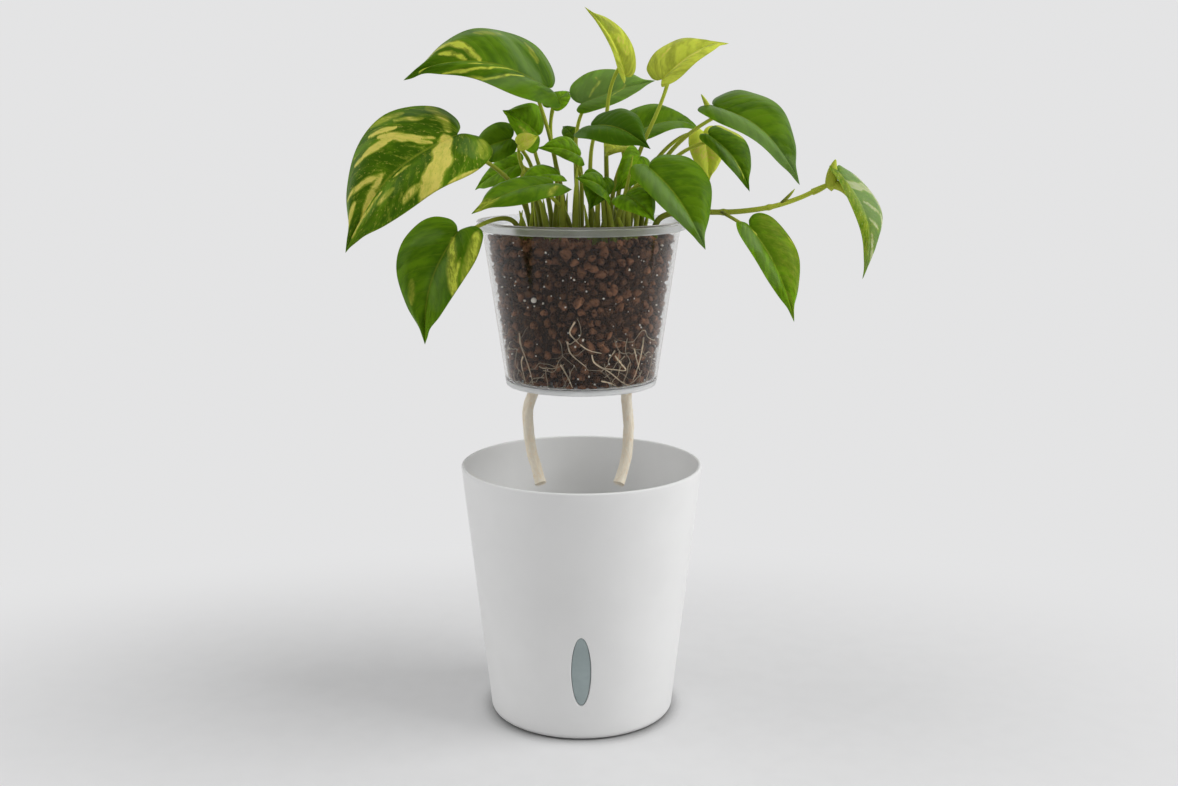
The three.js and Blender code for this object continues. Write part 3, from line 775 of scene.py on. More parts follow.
def bark_crumb(graph, bark, red, tan):
    """Bark and fired clay granules, each with its own tone."""
    ramp = graph.add("ValToRGB", {0: graph.attribute("tone")})
    stops = ramp.color_ramp.elements
    # The darkest stop serves the painted shade of deep granules and of the core; the others are the bark's
    # own tones.
    stops[0].color = (*scaled(bark, 0.08), 1)
    stops[1].color = (*tan, 1)
    middle = [(a * 2 + b) / 3 for a, b in zip(bark, red)]
    for position, stop in ((0.3, bark), (0.66, middle), (0.92, red)):
        stops.new(position).color = (*stop, 1)
    crumbly = graph.group(
        crumb_tone, place=graph.place(), scale=430.0, colour=ramp.outputs[0],
        pit=scaled(bark, 0.25), dust=scaled(tan, 0.7),
    )
    skin = graph.bump(crumbly["Height"], strength=0.8, distance=1.6 * MM)
    return shaded(graph, Base_Color=crumbly["Colour"], Roughness=0.78, Normal=skin, Specular_IOR_Level=0.12)


def pale_speck(graph, tone):
    """White mineral specks."""
    crumbly = graph.group(
        crumb_tone, place=graph.place(), scale=900.0, colour=tone, pit=scaled(tone, 0.75), dust=tone
    )
    skin = graph.bump(crumbly["Height"], strength=0.3, distance=0.4 * MM)
    return shaded(graph, Base_Color=crumbly["Colour"], Roughness=0.8, Normal=skin)


def root_fibre(graph, tone):
    """Cream to brown roots."""
    place = graph.attribute("place", "Vector")
    streaks = graph.group(fibre_streaks, place=place, along=14.0, around=1.0, twist=0.0)
    marked_tone = graph.mix(graph.step(streaks["Blotch"], 0.35, 0.65), tone, scaled(tone, 0.5))
    aged = graph.mix(graph.attribute("pale"), scaled(tone, 0.22), marked_tone)
    skin = graph.bump(streaks["Streak"], strength=0.4, distance=0.3 * MM)
    return shaded(graph, Base_Color=aged, Roughness=0.7, Normal=skin)


def stem_green(graph, tone, root_brown_and_shade):
    """Yellow-green stalks that darken to their roots: partly brown, partly painted shade."""
    place = graph.attribute("place", "Vector")
    streaks = graph.group(fibre_streaks, place=place, along=5.0, around=2.2, twist=0.1)
    along = graph.parts(place)[0]
    middle = [math.sqrt(a * b) for a, b in zip(tone, root_brown_and_shade)]
    # Darker towards the root: partly brown colour, partly painted shade.
    low = graph.mix(graph.step(along, 0.0, 0.35), root_brown_and_shade, middle)
    grown = graph.mix(graph.step(along, 0.3, 0.9), low, tone)
    green = graph.mix(graph.step(streaks["Streak"], 0.3, 0.7, 0.3, 0.0), grown, middle)
    skin = graph.bump(streaks["Streak"], strength=0.25, distance=0.4 * MM)
    return shaded(graph, Base_Color=green, Roughness=0.45, Specular_IOR_Level=0.12, Normal=skin,
                  Subsurface_Weight=0.12, Subsurface_Radius=(0.4, 1.0, 0.2), Subsurface_Scale=2 * MM)


def leaf_blade(graph, deep, fresh, vein, patch, fleck, wax, veins):
    """A waxy leaf in one of the plant's tones."""
    painted = {name: graph.attribute(name) for name in ("cream", "bloom", "lift", "under")}
    tinted = graph.group(
        leaf_colouring, place=graph.attribute("place", "Vector"), veins=veins, deep=deep, fresh=fresh,
        vein=vein, patch=patch, fleck=fleck, wax=wax, **painted,
    )
    skin = graph.bump(tinted["Height"], strength=0.2, distance=0.6 * MM)
    return shaded(graph, Base_Color=tinted["Colour"], Roughness=tinted["Roughness"], Normal=skin,
                  Specular_IOR_Level=0.06, Subsurface_Weight=0.15, Subsurface_Radius=(0.5, 1.0, 0.1),
                  Subsurface_Scale=1.5 * MM)


def seen_rays(graph):
    """The kinds of ray, and 1 for those that show the backdrop: seen, mirrored or let through."""
    ray = graph.add("LightPath").outputs
    bent = graph.math("MAXIMUM", ray["Is Glossy Ray"], ray["Is Transmission Ray"])
    return ray, graph.math("MAXIMUM", ray["Is Camera Ray"], bent)


FADE_SHAPE = (0.7, 1.3, 0)
FADE_START = 0.12
FADE_END = 0.44
# Painted contact shadow: within this reach of the pot the floor's colour darkens to this share.
CONTACT_REACH = 15 * MM
CONTACT_SHADE = 0.35


def studio_floor(graph, tone, backdrop):
    """A pale floor that keeps its shadows near the pot, with a contact shadow painted into its colour
    in the gap under the pot's round edge, and fades into the backdrop away from it."""
    spot = graph.add("NewGeometry").outputs["Position"]
    flat = graph.add("VectorMath", {0: spot, 1: FADE_SHAPE}, operation="MULTIPLY").outputs[0]
    away = graph.add("VectorMath", {0: flat}, operation="LENGTH").outputs["Value"]
    grain = graph.noise(spot, scale=60.0, detail=3.0, roughness=0.5)
    marked_tone = graph.mix(graph.step(grain, 0.35, 0.7), tone, scaled(tone, 0.985))
    # Painted shadow: the colour darkens where ambient occlusion finds the pot close by.
    near = graph.add("AmbientOcclusion", {"Distance": CONTACT_REACH}, samples=4).outputs["AO"]
    marked_tone = graph.mix(graph.step(near, 0.35, 0.85), scaled(tone, CONTACT_SHADE), marked_tone)
    paper = shaded(graph, Base_Color=marked_tone, Roughness=0.85)
    glow = graph.add("Emission", {"Color": backdrop, "Strength": 1.0}).outputs[0]
    _, seen = seen_rays(graph)
    share = graph.times(graph.step(away, FADE_START, FADE_END), seen)
    return graph.add("MixShader", {0: share, 1: paper, 2: glow}).outputs[0]


# Stage


FLOOR_RADIUS = 6.0
FLOOR_RINGS = 24
FLOOR_DEPTH = 10 * MM
AMBIENT = 0.345
ROOM_SHADE = 0.16
LAMP_SIZE = 1.2
LAMP_TARGET = (0, 0, 0.22)
# Soft lamps: name, place in metres, watts, and whether shiny faces mirror the lamp.
LAMPS = (
    ("key", (1.34, -0.26, 1.08), 15.5, True),
    ("fill", (-1.35, 0.0, 0.85), 6.6, True),
    ("top", (0.1, -0.3, 1.9), 4.2, False),
)


def area_lamp(name, place, watts, mirrored):
    """A soft square lamp that is turned to the middle of the plant and pot."""
    lamp = bpy.data.lights.new(name, "AREA")
    lamp.size = LAMP_SIZE
    lamp.energy = watts
    made = bpy.data.objects.new(name, lamp)
    made.location = place
    made.rotation_euler = (Vector(LAMP_TARGET) - made.location).to_track_quat("-Z", "Y").to_euler()
    made.visible_glossy = mirrored
    bpy.context.scene.collection.objects.link(made)


def studio_world(backdrop):
    """Even light from all round, behind a backdrop that mirrors show darker towards the camera."""
    world = bpy.data.worlds.new("studio")
    world.use_nodes = True
    world.node_tree.nodes.clear()
    graph = Graph(world.node_tree)
    ray, seen = seen_rays(graph)
    light = graph.add("Background", {"Color": (1, 1, 1), "Strength": AMBIENT}).outputs[0]
    way = graph.parts(graph.add("TexCoord").outputs["Generated"])
    facing = graph.math("MULTIPLY_ADD", way[2], 0.3, way[1])
    room = graph.step(facing, 0.1, 0.9, ROOM_SHADE, 1.0)
    bright = graph.math("MAXIMUM", room, ray["Is Camera Ray"])
    view = graph.add("Background", {"Color": backdrop, "Strength": bright}).outputs[0]
    shown = graph.add("MixShader", {0: seen, 1: light, 2: view}).outputs[0]
    graph.add("OutputWorld", {"Surface": shown})
    return world


class STAGE_OT_build(bpy.types.Operator):
    """Makes the camera, the floor, the lamps and the world."""

    bl_idname = "watering_pot.stage"
    bl_label = "Stage"

    def execute(self, context):
        stage = context.scene.watering_pot.stage
        scene = context.scene
        scene.view_settings.view_transform = "Standard"
        camera = bpy.data.objects.new("camera", bpy.data.cameras.new("camera"))
        camera.data.lens = stage.lens
        camera.data.sensor_width = 36
        camera.data.clip_start = 10 * MM
        camera.location = (stage.camera_x, stage.camera_y, stage.camera_z)
        camera.rotation_euler = (math.pi / 2 - stage.pitch, 0, 0)
        scene.collection.objects.link(camera)
        scene.camera = camera

        form = Form()
        rings = [(FLOOR_RADIUS * (i / FLOOR_RINGS) ** 2, 0) for i in range(1, FLOOR_RINGS + 1)]
        rings += [(FLOOR_RADIUS, -FLOOR_DEPTH)]
        form.turned([(0, 0), *rings, (0, -FLOOR_DEPTH)], segments=96)
        paper = finish("studio paper", studio_floor, stage.floor, stage.backdrop)
        form.piece("studio_floor", [paper])

        for lamp in LAMPS:
            area_lamp(*lamp)
        scene.world = studio_world(stage.backdrop)
        return {"FINISHED"}


# Wicks

# Route of a wick in millimetres, from its end in the medium to its cut end: place along Y and height above
# the insert's foot, and each wick's drift outwards from its hole.
WICK_ROUTE = (
    (0, 24), (0, 16), (0, 8), (0, 1), (0, -5), (0, -10), (-0.3, -14.5), (-1, -20.5), (-2, -27),
    (-3.5, -33), (-5, -39), (-7, -45), (-9, -51), (-11.5, -56.5), (-14, -61),
)
WICK_DRIFT = {
    "left": (0, 0, 0, 0, 1, 2.7, 4.1, 4.9, 4.6, 4, 2.9, 1.7, -0.3, -2, -3.5),
    "right": (0, 0, 0, 0, -0.4, -0.7, -0.2, 0.4, 0.8, 0.5, 0.3, -0.5, -2.1, -3.7, -5.3),
}
WICK_SIDES = 60
WICK_STEP = 0.5 * MM
WICK_STUB = 24 * MM
STRANDS = 3
STRAND_DEPTH = 0.1
STRAND_CURVE = 0.75
COMB_STEP = 7
COMB_DEPTH = 0.08 * MM
SPLAY = 0.10
SPLAY_LENGTH = 5 * MM
FLUFF = 0.05
FLUFF_LENGTH = 6 * MM
FUZZ_PER_WICK = 420
CUT_EACH = 5
FUZZ_POINTS = 5
SEED_RANGE = 9


def wick_path(side, sign, spread):
    """Centre of a wick as points half a millimetre apart."""
    foot = INSERT_BOX[0].z
    route = zip(WICK_DRIFT[side], WICK_ROUTE)
    points = [(sign * (spread + x * MM), y * MM, foot + z * MM) for x, (y, z) in route]
    return even_path(points, WICK_STEP)


def wick_rope(form, path, radius, lay, rng):
    """A soft rope of a few strands laid round each other, with combed fibres and a slightly splayed end."""
    run = np.arange(len(path)) * WICK_STEP
    phase = once_round(WICK_SIDES)[None] - (TURN / lay) * run[:, None]
    crown = np.abs(np.cos(phase * STRANDS / 2)) ** STRAND_CURVE
    combs = rng.normal(size=(len(path) // COMB_STEP + 2, WICK_SIDES))
    rows = np.arange(len(path)) / COMB_STEP
    combed = np.column_stack([np.interp(rows, np.arange(len(combs)), column) for column in combs.T])
    splay = 1 + SPLAY * smooth_step(run, run[-1] - SPLAY_LENGTH, run[-1])[:, None]
    fluffed = 1 + FLUFF * smooth_step(run, WICK_STUB, WICK_STUB + FLUFF_LENGTH)[:, None]
    radii = radius * splay * fluffed * (1 - STRAND_DEPTH * (1 - crown)) + combed * COMB_DEPTH
    # Painted shade: darkest in the valleys between the strands.
    valley = np.append((1 - crown).ravel() ** 2, [0.0, 0.0])
    form.tube(path, radii, WICK_SIDES, bulge=0.25, seed=rng.random() * SEED_RANGE, valley=valley)


def wick_fuzz(form, path, radius, rng):
    """Loose cotton fibres along a rope and at its cut end."""
    tangents, first, second = path_frames(path)
    free = np.flatnonzero(path[:, 2] < INSERT_BOX[0].z - 2 * MM)
    for number in range(FUZZ_PER_WICK):
        cut = number % CUT_EACH == 0
        spot = len(path) - 1 if cut else rng.choice(free)
        angle = rng.random() * TURN
        out = math.cos(angle) * first[spot] + math.sin(angle) * second[spot]
        lean = tangents[spot] * (1.6 if cut else rng.normal() * 1.3)
        start = path[spot] + out * radius * (math.sqrt(rng.random()) * 0.9 if cut else 0.93)
        heading = unit(out * (0.35 if cut else 1) + lean + rng.normal(size=3) * 0.35)
        bend = rng.normal(size=3) * 0.5
        size = (0.7 + 1.7 * rng.random()) * MM
        start_handle = start + heading * size * 0.4
        end_handle = start + (heading + bend * 0.3) * size * 0.7
        end = start + (heading * 0.8 + bend * 0.5) * size
        fibre = bezier(start, start_handle, end_handle, end, FUZZ_POINTS)
        width = np.linspace(0.055, 0.02, FUZZ_POINTS) * MM
        # A little painted shade on the loose fibres.
        form.tube(fibre, width, sides=3, seed=rng.random() * SEED_RANGE, valley=0.1)


class WICKS_OT_build(bpy.types.Operator):
    """Makes the two cotton wicks with their loose fibres."""

    bl_idname = "watering_pot.wicks"
    bl_label = "Wicks"

    def execute(self, context):
        wick = context.scene.watering_pot.wick
        cotton = finish("cotton rope", cotton_rope, wick.cotton, wick.cotton_shade)
        rng = np.random.default_rng(41)
        for side, sign, reach in (("left", -1, wick.left_length), ("right", 1, wick.right_length)):
            path = wick_path(side, sign, wick.spread)
            rope_form, fuzz_form = Form(), Form()
            wick_rope(rope_form, path, wick.diameter / 2, wick.lay, rng)
            wick_fuzz(fuzz_form, path, wick.diameter / 2, rng)
            rope = rope_form.piece(f"wick_{side}_rope", [cotton])
            fuzz = fuzz_form.piece(f"wick_{side}_fibres", [cotton])
            settle(rope, "insert", "cotton_rope", f"wick_{side}")
            settle(fuzz, "insert", "cotton_rope")
        return {"FINISHED"}


# Outer pot

POT_SEGMENTS = 192
POT_ROWS = 40
FLAT_ROWS = 6
OVAL_SEGMENTS = 120
CHAMFER = 0.45 * MM
RIB_BEVEL = 0.2
SEAL_THICKNESS = 0.8 * MM
SEAL_INSET = 0.4 * MM
SEAL_SOFT = 0.2 * MM
FLANGE_THICKNESS = 1.4 * MM
LENS_BEVEL = 0.35 * MM
LENS_DOME = 0.12 * MM


def pot_radius(pot, height):
    """Outer radius of the pot at a height."""
    return pot.base_radius + (pot.rim_radius - pot.base_radius) * height / pot.height


def pot_profile(pot):
    """The pot's section from the middle of its underside, over the lip, to the middle of its inner floor."""
    rounding = pot.base_round
    base = arc(pot_radius(pot, rounding) - rounding, rounding, rounding, -90, 0, steps=10)
    lip_height = pot.height - pot.lip_round
    lip = arc(pot_radius(pot, lip_height) - pot.lip_round, lip_height, pot.lip_round, 0, 180, steps=12)
    foot = pot.floor + rounding
    corner = arc(pot_radius(pot, foot) - pot.wall - rounding, foot, rounding, 0, -90, steps=8)
    underside = between((0, 0), base[0], FLAT_ROWS)
    floor = between(corner[-1], (0, pot.floor), FLAT_ROWS)
    outside = between(base[-1], lip[0], POT_ROWS)
    inside = between(lip[-1], corner[0], POT_ROWS)
    return [(0, 0), *underside, *base, *outside, *lip, *inside, *corner, *floor, (0, pot.floor)]


def rib_outline(pot, insert):
    """Section of a support rib, with its seat, its guide and its root in the wall."""
    insert_rise = INSERT_BOX[1].z - INSERT_BOX[0].z
    inner = insert.base_radius - pot.rib_seat
    guide_top = pot.seat_height + pot.rib_guide
    taper = (insert.top_radius - insert.base_radius) * pot.rib_guide / insert_rise
    shelf = pot.floor + pot.base_round + pot.rib_root
    rooted = pot.floor - pot.rib_root
    return [
        (inner, rooted),
        (pot_radius(pot, pot.floor) - pot.wall - pot.base_round, rooted),
        (pot_radius(pot, shelf) - pot.wall + pot.rib_root, shelf),
        (pot_radius(pot, guide_top) - pot.wall + pot.rib_root, guide_top),
        (insert.base_radius + taper + pot.rib_clearance, guide_top),
        (insert.base_radius + pot.rib_clearance, pot.seat_height),
        (inner, pot.seat_height),
    ]


def support_rib(pot, insert, angle):
    """A support rib with eased edges, as a tool to be joined to the pot."""
    outline = rib_outline(pot, insert)
    half = pot.rib_thickness / 2
    form = Form()
    corners = [(r, y, z) for y in (-half, half) for r, z in outline]
    count = len(outline)
    sides = [(i, (i + 1) % count, count + (i + 1) % count, count + i) for i in range(count)]
    form.add(corners, [tuple(range(count)), tuple(range(count, 2 * count)), *sides])
    rib = form.piece("rib", [])
    work = bmesh.new()
    work.from_mesh(rib.data)
    bmesh.ops.bevel(work, geom=work.edges[:], offset=pot.rib_thickness * RIB_BEVEL, segments=3,
                    profile=0.5, affect="EDGES", clamp_overlap=True)
    bmesh.ops.rotate(work, verts=work.verts, cent=(0, 0, 0), matrix=Matrix.Rotation(angle, 3, "Z"))
    work.to_mesh(rib.data)
    work.free()
    return rib


def oval_form(form, pot, profile, closed=False):
    """Adds a form turned round the window's oval: (scale, margin, depth) triples, where depth counts under
    the pot's outer face. It starts and ends in the middle, or closes on itself."""
    turn = once_round(OVAL_SEGMENTS)
    rings = profile if closed else profile[1:-1]

    def on_face(x, z, depth):
        radius = pot_radius(pot, z) - depth
        return np.column_stack([x, -np.sqrt(radius**2 - x**2), z])

    corners = []
    for scale, margin, depth in rings:
        x = (pot.window_width / 2 * scale + margin) * np.cos(turn)
        z = pot.window_centre + (pot.window_height / 2 * scale + margin) * np.sin(turn)
        corners.append(on_face(x, z, depth))
    if closed:
        faces = grid_faces(len(rings), OVAL_SEGMENTS, closed=True)
        last = (len(rings) - 1) * OVAL_SEGMENTS
        for side in range(OVAL_SEGMENTS):
            after = (side + 1) % OVAL_SEGMENTS
            faces.append((last + side, last + after, after, side))
    else:
        faces = capped_faces(len(rings), OVAL_SEGMENTS)
        middle = np.array([0.0]), np.array([pot.window_centre])
        corners += [on_face(*middle, profile[0][2]), on_face(*middle, profile[-1][2])]
    form.add(np.vstack(corners), faces)


class POT_OT_build(bpy.types.Operator):
    """Makes the outer pot with its support ribs and its window hole."""

    bl_idname = "watering_pot.outer_pot"
    bl_label = "Outer pot"

    def execute(self, context):
        pot = context.scene.watering_pot.reservoir
        insert = context.scene.watering_pot.insert
        form = Form()
        form.turned(pot_profile(pot), POT_SEGMENTS)
        piece = form.piece("outer_pot_moulding", [finish("white plastic", white_plastic, pot.plastic)])
        ribs = [support_rib(pot, insert, TURN * i / pot.rib_count) for i in range(pot.rib_count)]
        carve(piece, ribs, "UNION")
        through = pot.wall * 2
        hole = Form()
        oval_form(hole, pot, [
            (0, 0, -through), (1, CHAMFER, -through), (1, CHAMFER, 0), (1, 0, CHAMFER), (1, 0, through),
            (0, 0, through),
        ])
        carve(piece, [hole.piece("hole", [])])
        settle(piece, "reservoir", "white_plastic", "outer_pot")
        return {"FINISHED"}


class WINDOW_OT_build(bpy.types.Operator):
    """Makes the water-level window and its seal."""

    bl_idname = "watering_pot.window"
    bl_label = "Window"

    def execute(self, context):
        pot = context.scene.watering_pot.reservoir
        seal_top = pot.wall + pot.fit_gap
        seal_back = seal_top + SEAL_THICKNESS
        flange_top = seal_back + pot.fit_gap
        flange_back = flange_top + FLANGE_THICKNESS
        recess, reach, edge, bevel = pot.window_recess, pot.window_flange, -pot.fit_gap, LENS_BEVEL
        face = [(s, edge * s, recess - LENS_DOME * (1 - s * s)) for s in (0, 0.2, 0.4, 0.6, 0.8, 0.92)]
        plug = [
            (1, edge - bevel, recess), (1, edge - bevel / 3, recess + bevel / 4), (1, edge, recess + bevel),
            (1, edge, flange_top),
        ]
        flange = [
            (1, reach - bevel, flange_top), (1, reach, flange_top + bevel), (1, reach, flange_back - bevel),
            (1, reach - bevel, flange_back),
        ]
        back = [(s, 0, flange_back) for s in (0.9, 0.6, 0.3, 0)]
        lens_form = Form()
        oval_form(lens_form, pot, [*face, *plug, *flange, *back])
        tint = finish("window tint", tinted_window, pot.tint)
        lens = lens_form.piece("window_lens_moulding", [tint], sharp=50)
        settle(lens, "reservoir", "window_tint", "window_lens")
        inner, outer, soft = pot.fit_gap / 3, reach - SEAL_INSET, SEAL_SOFT
        seal_form = Form()
        oval_form(seal_form, pot, [
            (1, inner + soft, seal_top), (1, outer - soft, seal_top), (1, outer, seal_top + soft),
            (1, outer, seal_back - soft), (1, outer - soft, seal_back), (1, inner + soft, seal_back),
            (1, inner, seal_back - soft), (1, inner, seal_top + soft),
        ], closed=True)
        rubber = finish("seal rubber", seal_rubber, pot.rubber)
        seal = seal_form.piece("window_seal_ring", [rubber])
        settle(seal, "reservoir", "seal_rubber", "window_seal")
        return {"FINISHED"}


# Insert

INSERT_SEGMENTS = 160
INSERT_ROWS = 16
PLATE_ROWS = 3
HOLE_FLARE = 0.3 * MM
HOLE_OVER = 3 * MM
LIP_SHARE = 0.8
LEVEL_SLACK = 0.01 * MM
# The insert's finishes besides its clear wall.
MILKY_FINISH = 1
LIP_FINISH = 2


def insert_radius(insert, height):
    """Outer radius of the insert's wall at a height above its foot."""
    rise = INSERT_BOX[1].z - INSERT_BOX[0].z
    return insert.base_radius + (insert.top_radius - insert.base_radius) * height / rise


def insert_profile(insert):
    """The insert's section from the middle of its underside, over the lip, to the middle of its inner
    floor."""
    top = INSERT_BOX[1].z - INSERT_BOX[0].z
    lip_radius = insert.top_radius + insert.lip_reach
    thin = insert.lip_thickness
    soft = thin / 2
    under = top - thin
    lip_foot = top - insert.lip_depth
    foot_inner = insert.base_radius - insert.foot_width
    foot_soft = insert.foot_width / 4
    floor_top = insert.foot_height + insert.floor
    rounding = insert.inner_round
    corner = floor_top + rounding
    outer_foot = arc(insert_radius(insert, foot_soft) - foot_soft, foot_soft, foot_soft, -90, 0)
    plate = (insert_radius(insert, floor_top), floor_top)
    neck = (insert_radius(insert, under - soft), under - soft)
    inner_lip = arc(insert.top_radius - insert.wall + soft, top - soft, soft, 90, 180)
    inner_corner = arc(insert_radius(insert, corner) - insert.wall - rounding, corner, rounding, 0, -90)
    underside = [(0, insert.foot_height), (foot_inner, insert.foot_height)]
    return [
        underside[0], *between(*underside, PLATE_ROWS), underside[1],
        *arc(foot_inner + foot_soft, foot_soft, foot_soft, 180, 270),
        *outer_foot, plate, *between(plate, neck, INSERT_ROWS), neck,
        (insert_radius(insert, under) + soft / 2, under),
        (lip_radius - thin - soft / 2, under), (lip_radius - thin, under - soft / 2),
        (lip_radius - thin, lip_foot + soft / 3),
        *arc(lip_radius - soft, lip_foot + soft, soft, 180, 360),
        *arc(lip_radius - soft, top - soft, soft, 0, 90),
        *inner_lip, *between(inner_lip[-1], inner_corner[0], INSERT_ROWS), *inner_corner,
        *between(inner_corner[-1], (0, floor_top), PLATE_ROWS), (0, floor_top),
    ]


def wick_hole(name, insert, wick, sign, gap):
    """A tool for a wick hole through the insert's floor, flared at both ends."""
    radius = wick.diameter / 2 + gap
    wide = radius + HOLE_FLARE
    low, high = insert.foot_height, insert.foot_height + insert.floor
    bottom, top = low - HOLE_OVER, high + HOLE_OVER
    form = Form()
    form.turned([
        (0, bottom), (wide, bottom), (wide, low), (radius, low + HOLE_FLARE), (radius, high - HOLE_FLARE),
        (wide, high), (wide, top), (0, top),
    ], segments=48)
    tool = form.piece(name, [])
    tool.location = (sign * wick.spread, 0, INSERT_BOX[0].z)
    return tool


class INSERT_OT_build(bpy.types.Operator):
    """Makes the clear insert with its lip, foot ring and wick holes."""

    bl_idname = "watering_pot.insert"
    bl_label = "Insert"

    def execute(self, context):
        settings = context.scene.watering_pot
        insert = settings.insert
        form = Form()
        foot = INSERT_BOX[0].z
        form.turned([(r, z + foot) for r, z in insert_profile(insert)], INSERT_SEGMENTS)
        haze_foot = foot + insert.foot_height + insert.floor
        haze_lip = INSERT_BOX[1].z - insert.lip_depth
        clear = finish("clear plastic", clear_plastic, insert.plastic, haze_foot, haze_lip)
        milky = finish("milky plastic", milky_plastic, insert.plastic)
        lip = finish("rolled lip", rolled_lip, insert.plastic)
        piece = form.piece("insert_pot_moulding", [clear, milky, lip])
        gap = settings.reservoir.fit_gap
        tools = [wick_hole(f"wick hole {sign}", insert, settings.wick, sign, gap) for sign in (-1, 1)]
        context.view_layer.update()
        carve(piece, tools)
        skirt = insert.top_radius + insert.lip_reach - insert.lip_thickness * LIP_SHARE
        for face in piece.data.polygons:
            if face.center.z < haze_foot + LEVEL_SLACK:
                face.material_index = MILKY_FINISH
            elif math.hypot(*face.center.xy) > skirt:
                face.material_index = LIP_FINISH
        settle(piece, "insert", "clear_plastic", "insert_pot")
        return {"FINISHED"}


# Growing medium


def cube_ball(cuts):
    """Corners and quads of a ball made from a cube whose faces are cut into a grid."""
    work = bmesh.new()
    bmesh.ops.create_cube(work, size=2)
    bmesh.ops.subdivide_edges(work, edges=work.edges[:], cuts=cuts, use_grid_fill=True)
    corners = unit([tuple(corner.co) for corner in work.verts])
    faces = [tuple(corner.index for corner in face.verts) for face in work.faces]
    work.free()
    return corners, faces


def crumb(ball, rng, chips=9):
    """A rough lump with a few chipped sides, about one across."""
    corners = ball @ np.diag(0.75 + 0.55 * rng.random(3))
    waves = rng.normal(size=(5, 3)) * 2.4
    shift = rng.random(5) * 6
    swell = np.sin(ball @ waves.T + shift).sum(1)
    corners = corners * (1 + 0.07 * swell)[:, None]
    for side in unit(rng.normal(size=(chips, 3))):
        over = corners @ side - (0.42 + 0.36 * rng.random())
        corners = corners - np.outer(np.maximum(over, 0) * 0.86, side)
    turn, _ = np.linalg.qr(rng.normal(size=(3, 3)))
    return corners @ turn.T / 2


def scatter(rng, draw, tries, crowding, kept):
    """New places that keep clear of each other and of those kept: draw gives a point and a size, and
    crowding is the share of their sizes that they keep apart."""
    points = np.array([point for point, _ in kept]).reshape(-1, 3)
    sizes = np.array([size for _, size in kept])
    new = []
    for _ in range(tries):
        point, size = draw(rng)
        gaps = np.linalg.norm(points - point, axis=1)
        if (gaps < crowding * (sizes + size) / 2).any():
            continue
        points = np.vstack([points, point])
        sizes = np.append(sizes, size)
        new.append((point, size))
    return new


# Roots on the front of the wall, in millimetres: place across and height above the insert's foot.
FRONT_ROOTS = (
    ((-3.5, 45), (-6.5, 39), (-4, 35), (1.5, 30), (6, 27.5), (12, 26)),
    ((6.5, 25), (7.5, 21), (11, 18), (17, 14), (24, 7.5), (29, 4)),
    ((-36.5, 36), (-35.5, 28), (-32.5, 20), (-30, 12), (-28.5, 5)),
    ((20, 24), (23.5, 19), (26.5, 14.5), (20, 15.5), (12, 17)),
    ((-8, 33), (-6.5, 27), (-3, 23), (3, 18)),
    ((37, 33), (36, 25), (34, 16), (31, 8)),
    ((-34.5, 22), (-35.5, 17), (-34, 9), (-33, 5)),
    ((12, 9), (17, 7.5), (22, 4.5)),
    ((31.5, 27), (33, 20), (35, 13)),
    ((-12, 19), (-8, 12), (-5, 5)),
)


# A large pale bead by the wall, in millimetres: place across, height above the insert's foot and size.
BEAD = (-27.2, 56.7, 3.3)
GRANULE_INSET = 0.25 * MM
LEAST_TONE = 0.12
TONE_RANGE = 0.84
TONE_CURVE = 2.1
CRUMB_SHADE = 0.6
# Painted shade of the granules: it begins this deep behind the skin, is full that deep, and takes off this
# share of the tone.
DAYLIGHT_START = 0.7 * MM
DAYLIGHT_END = 4.2 * MM
DEEPEST_SHADE = 0.94
LEVEL_MARGIN = 0.6 * MM
CORE_INSET = 3.6 * MM
CHANNEL_TOP = 30 * MM
CHANNEL_GAP = 1.2 * MM
CHANNEL_SINK = 9 * MM
SMALL_SPECKS = 0.97
LARGE_SPECK = 1.8 * MM
ROOT_STEP = 0.8 * MM
ROOT_MARGIN = 0.6 * MM


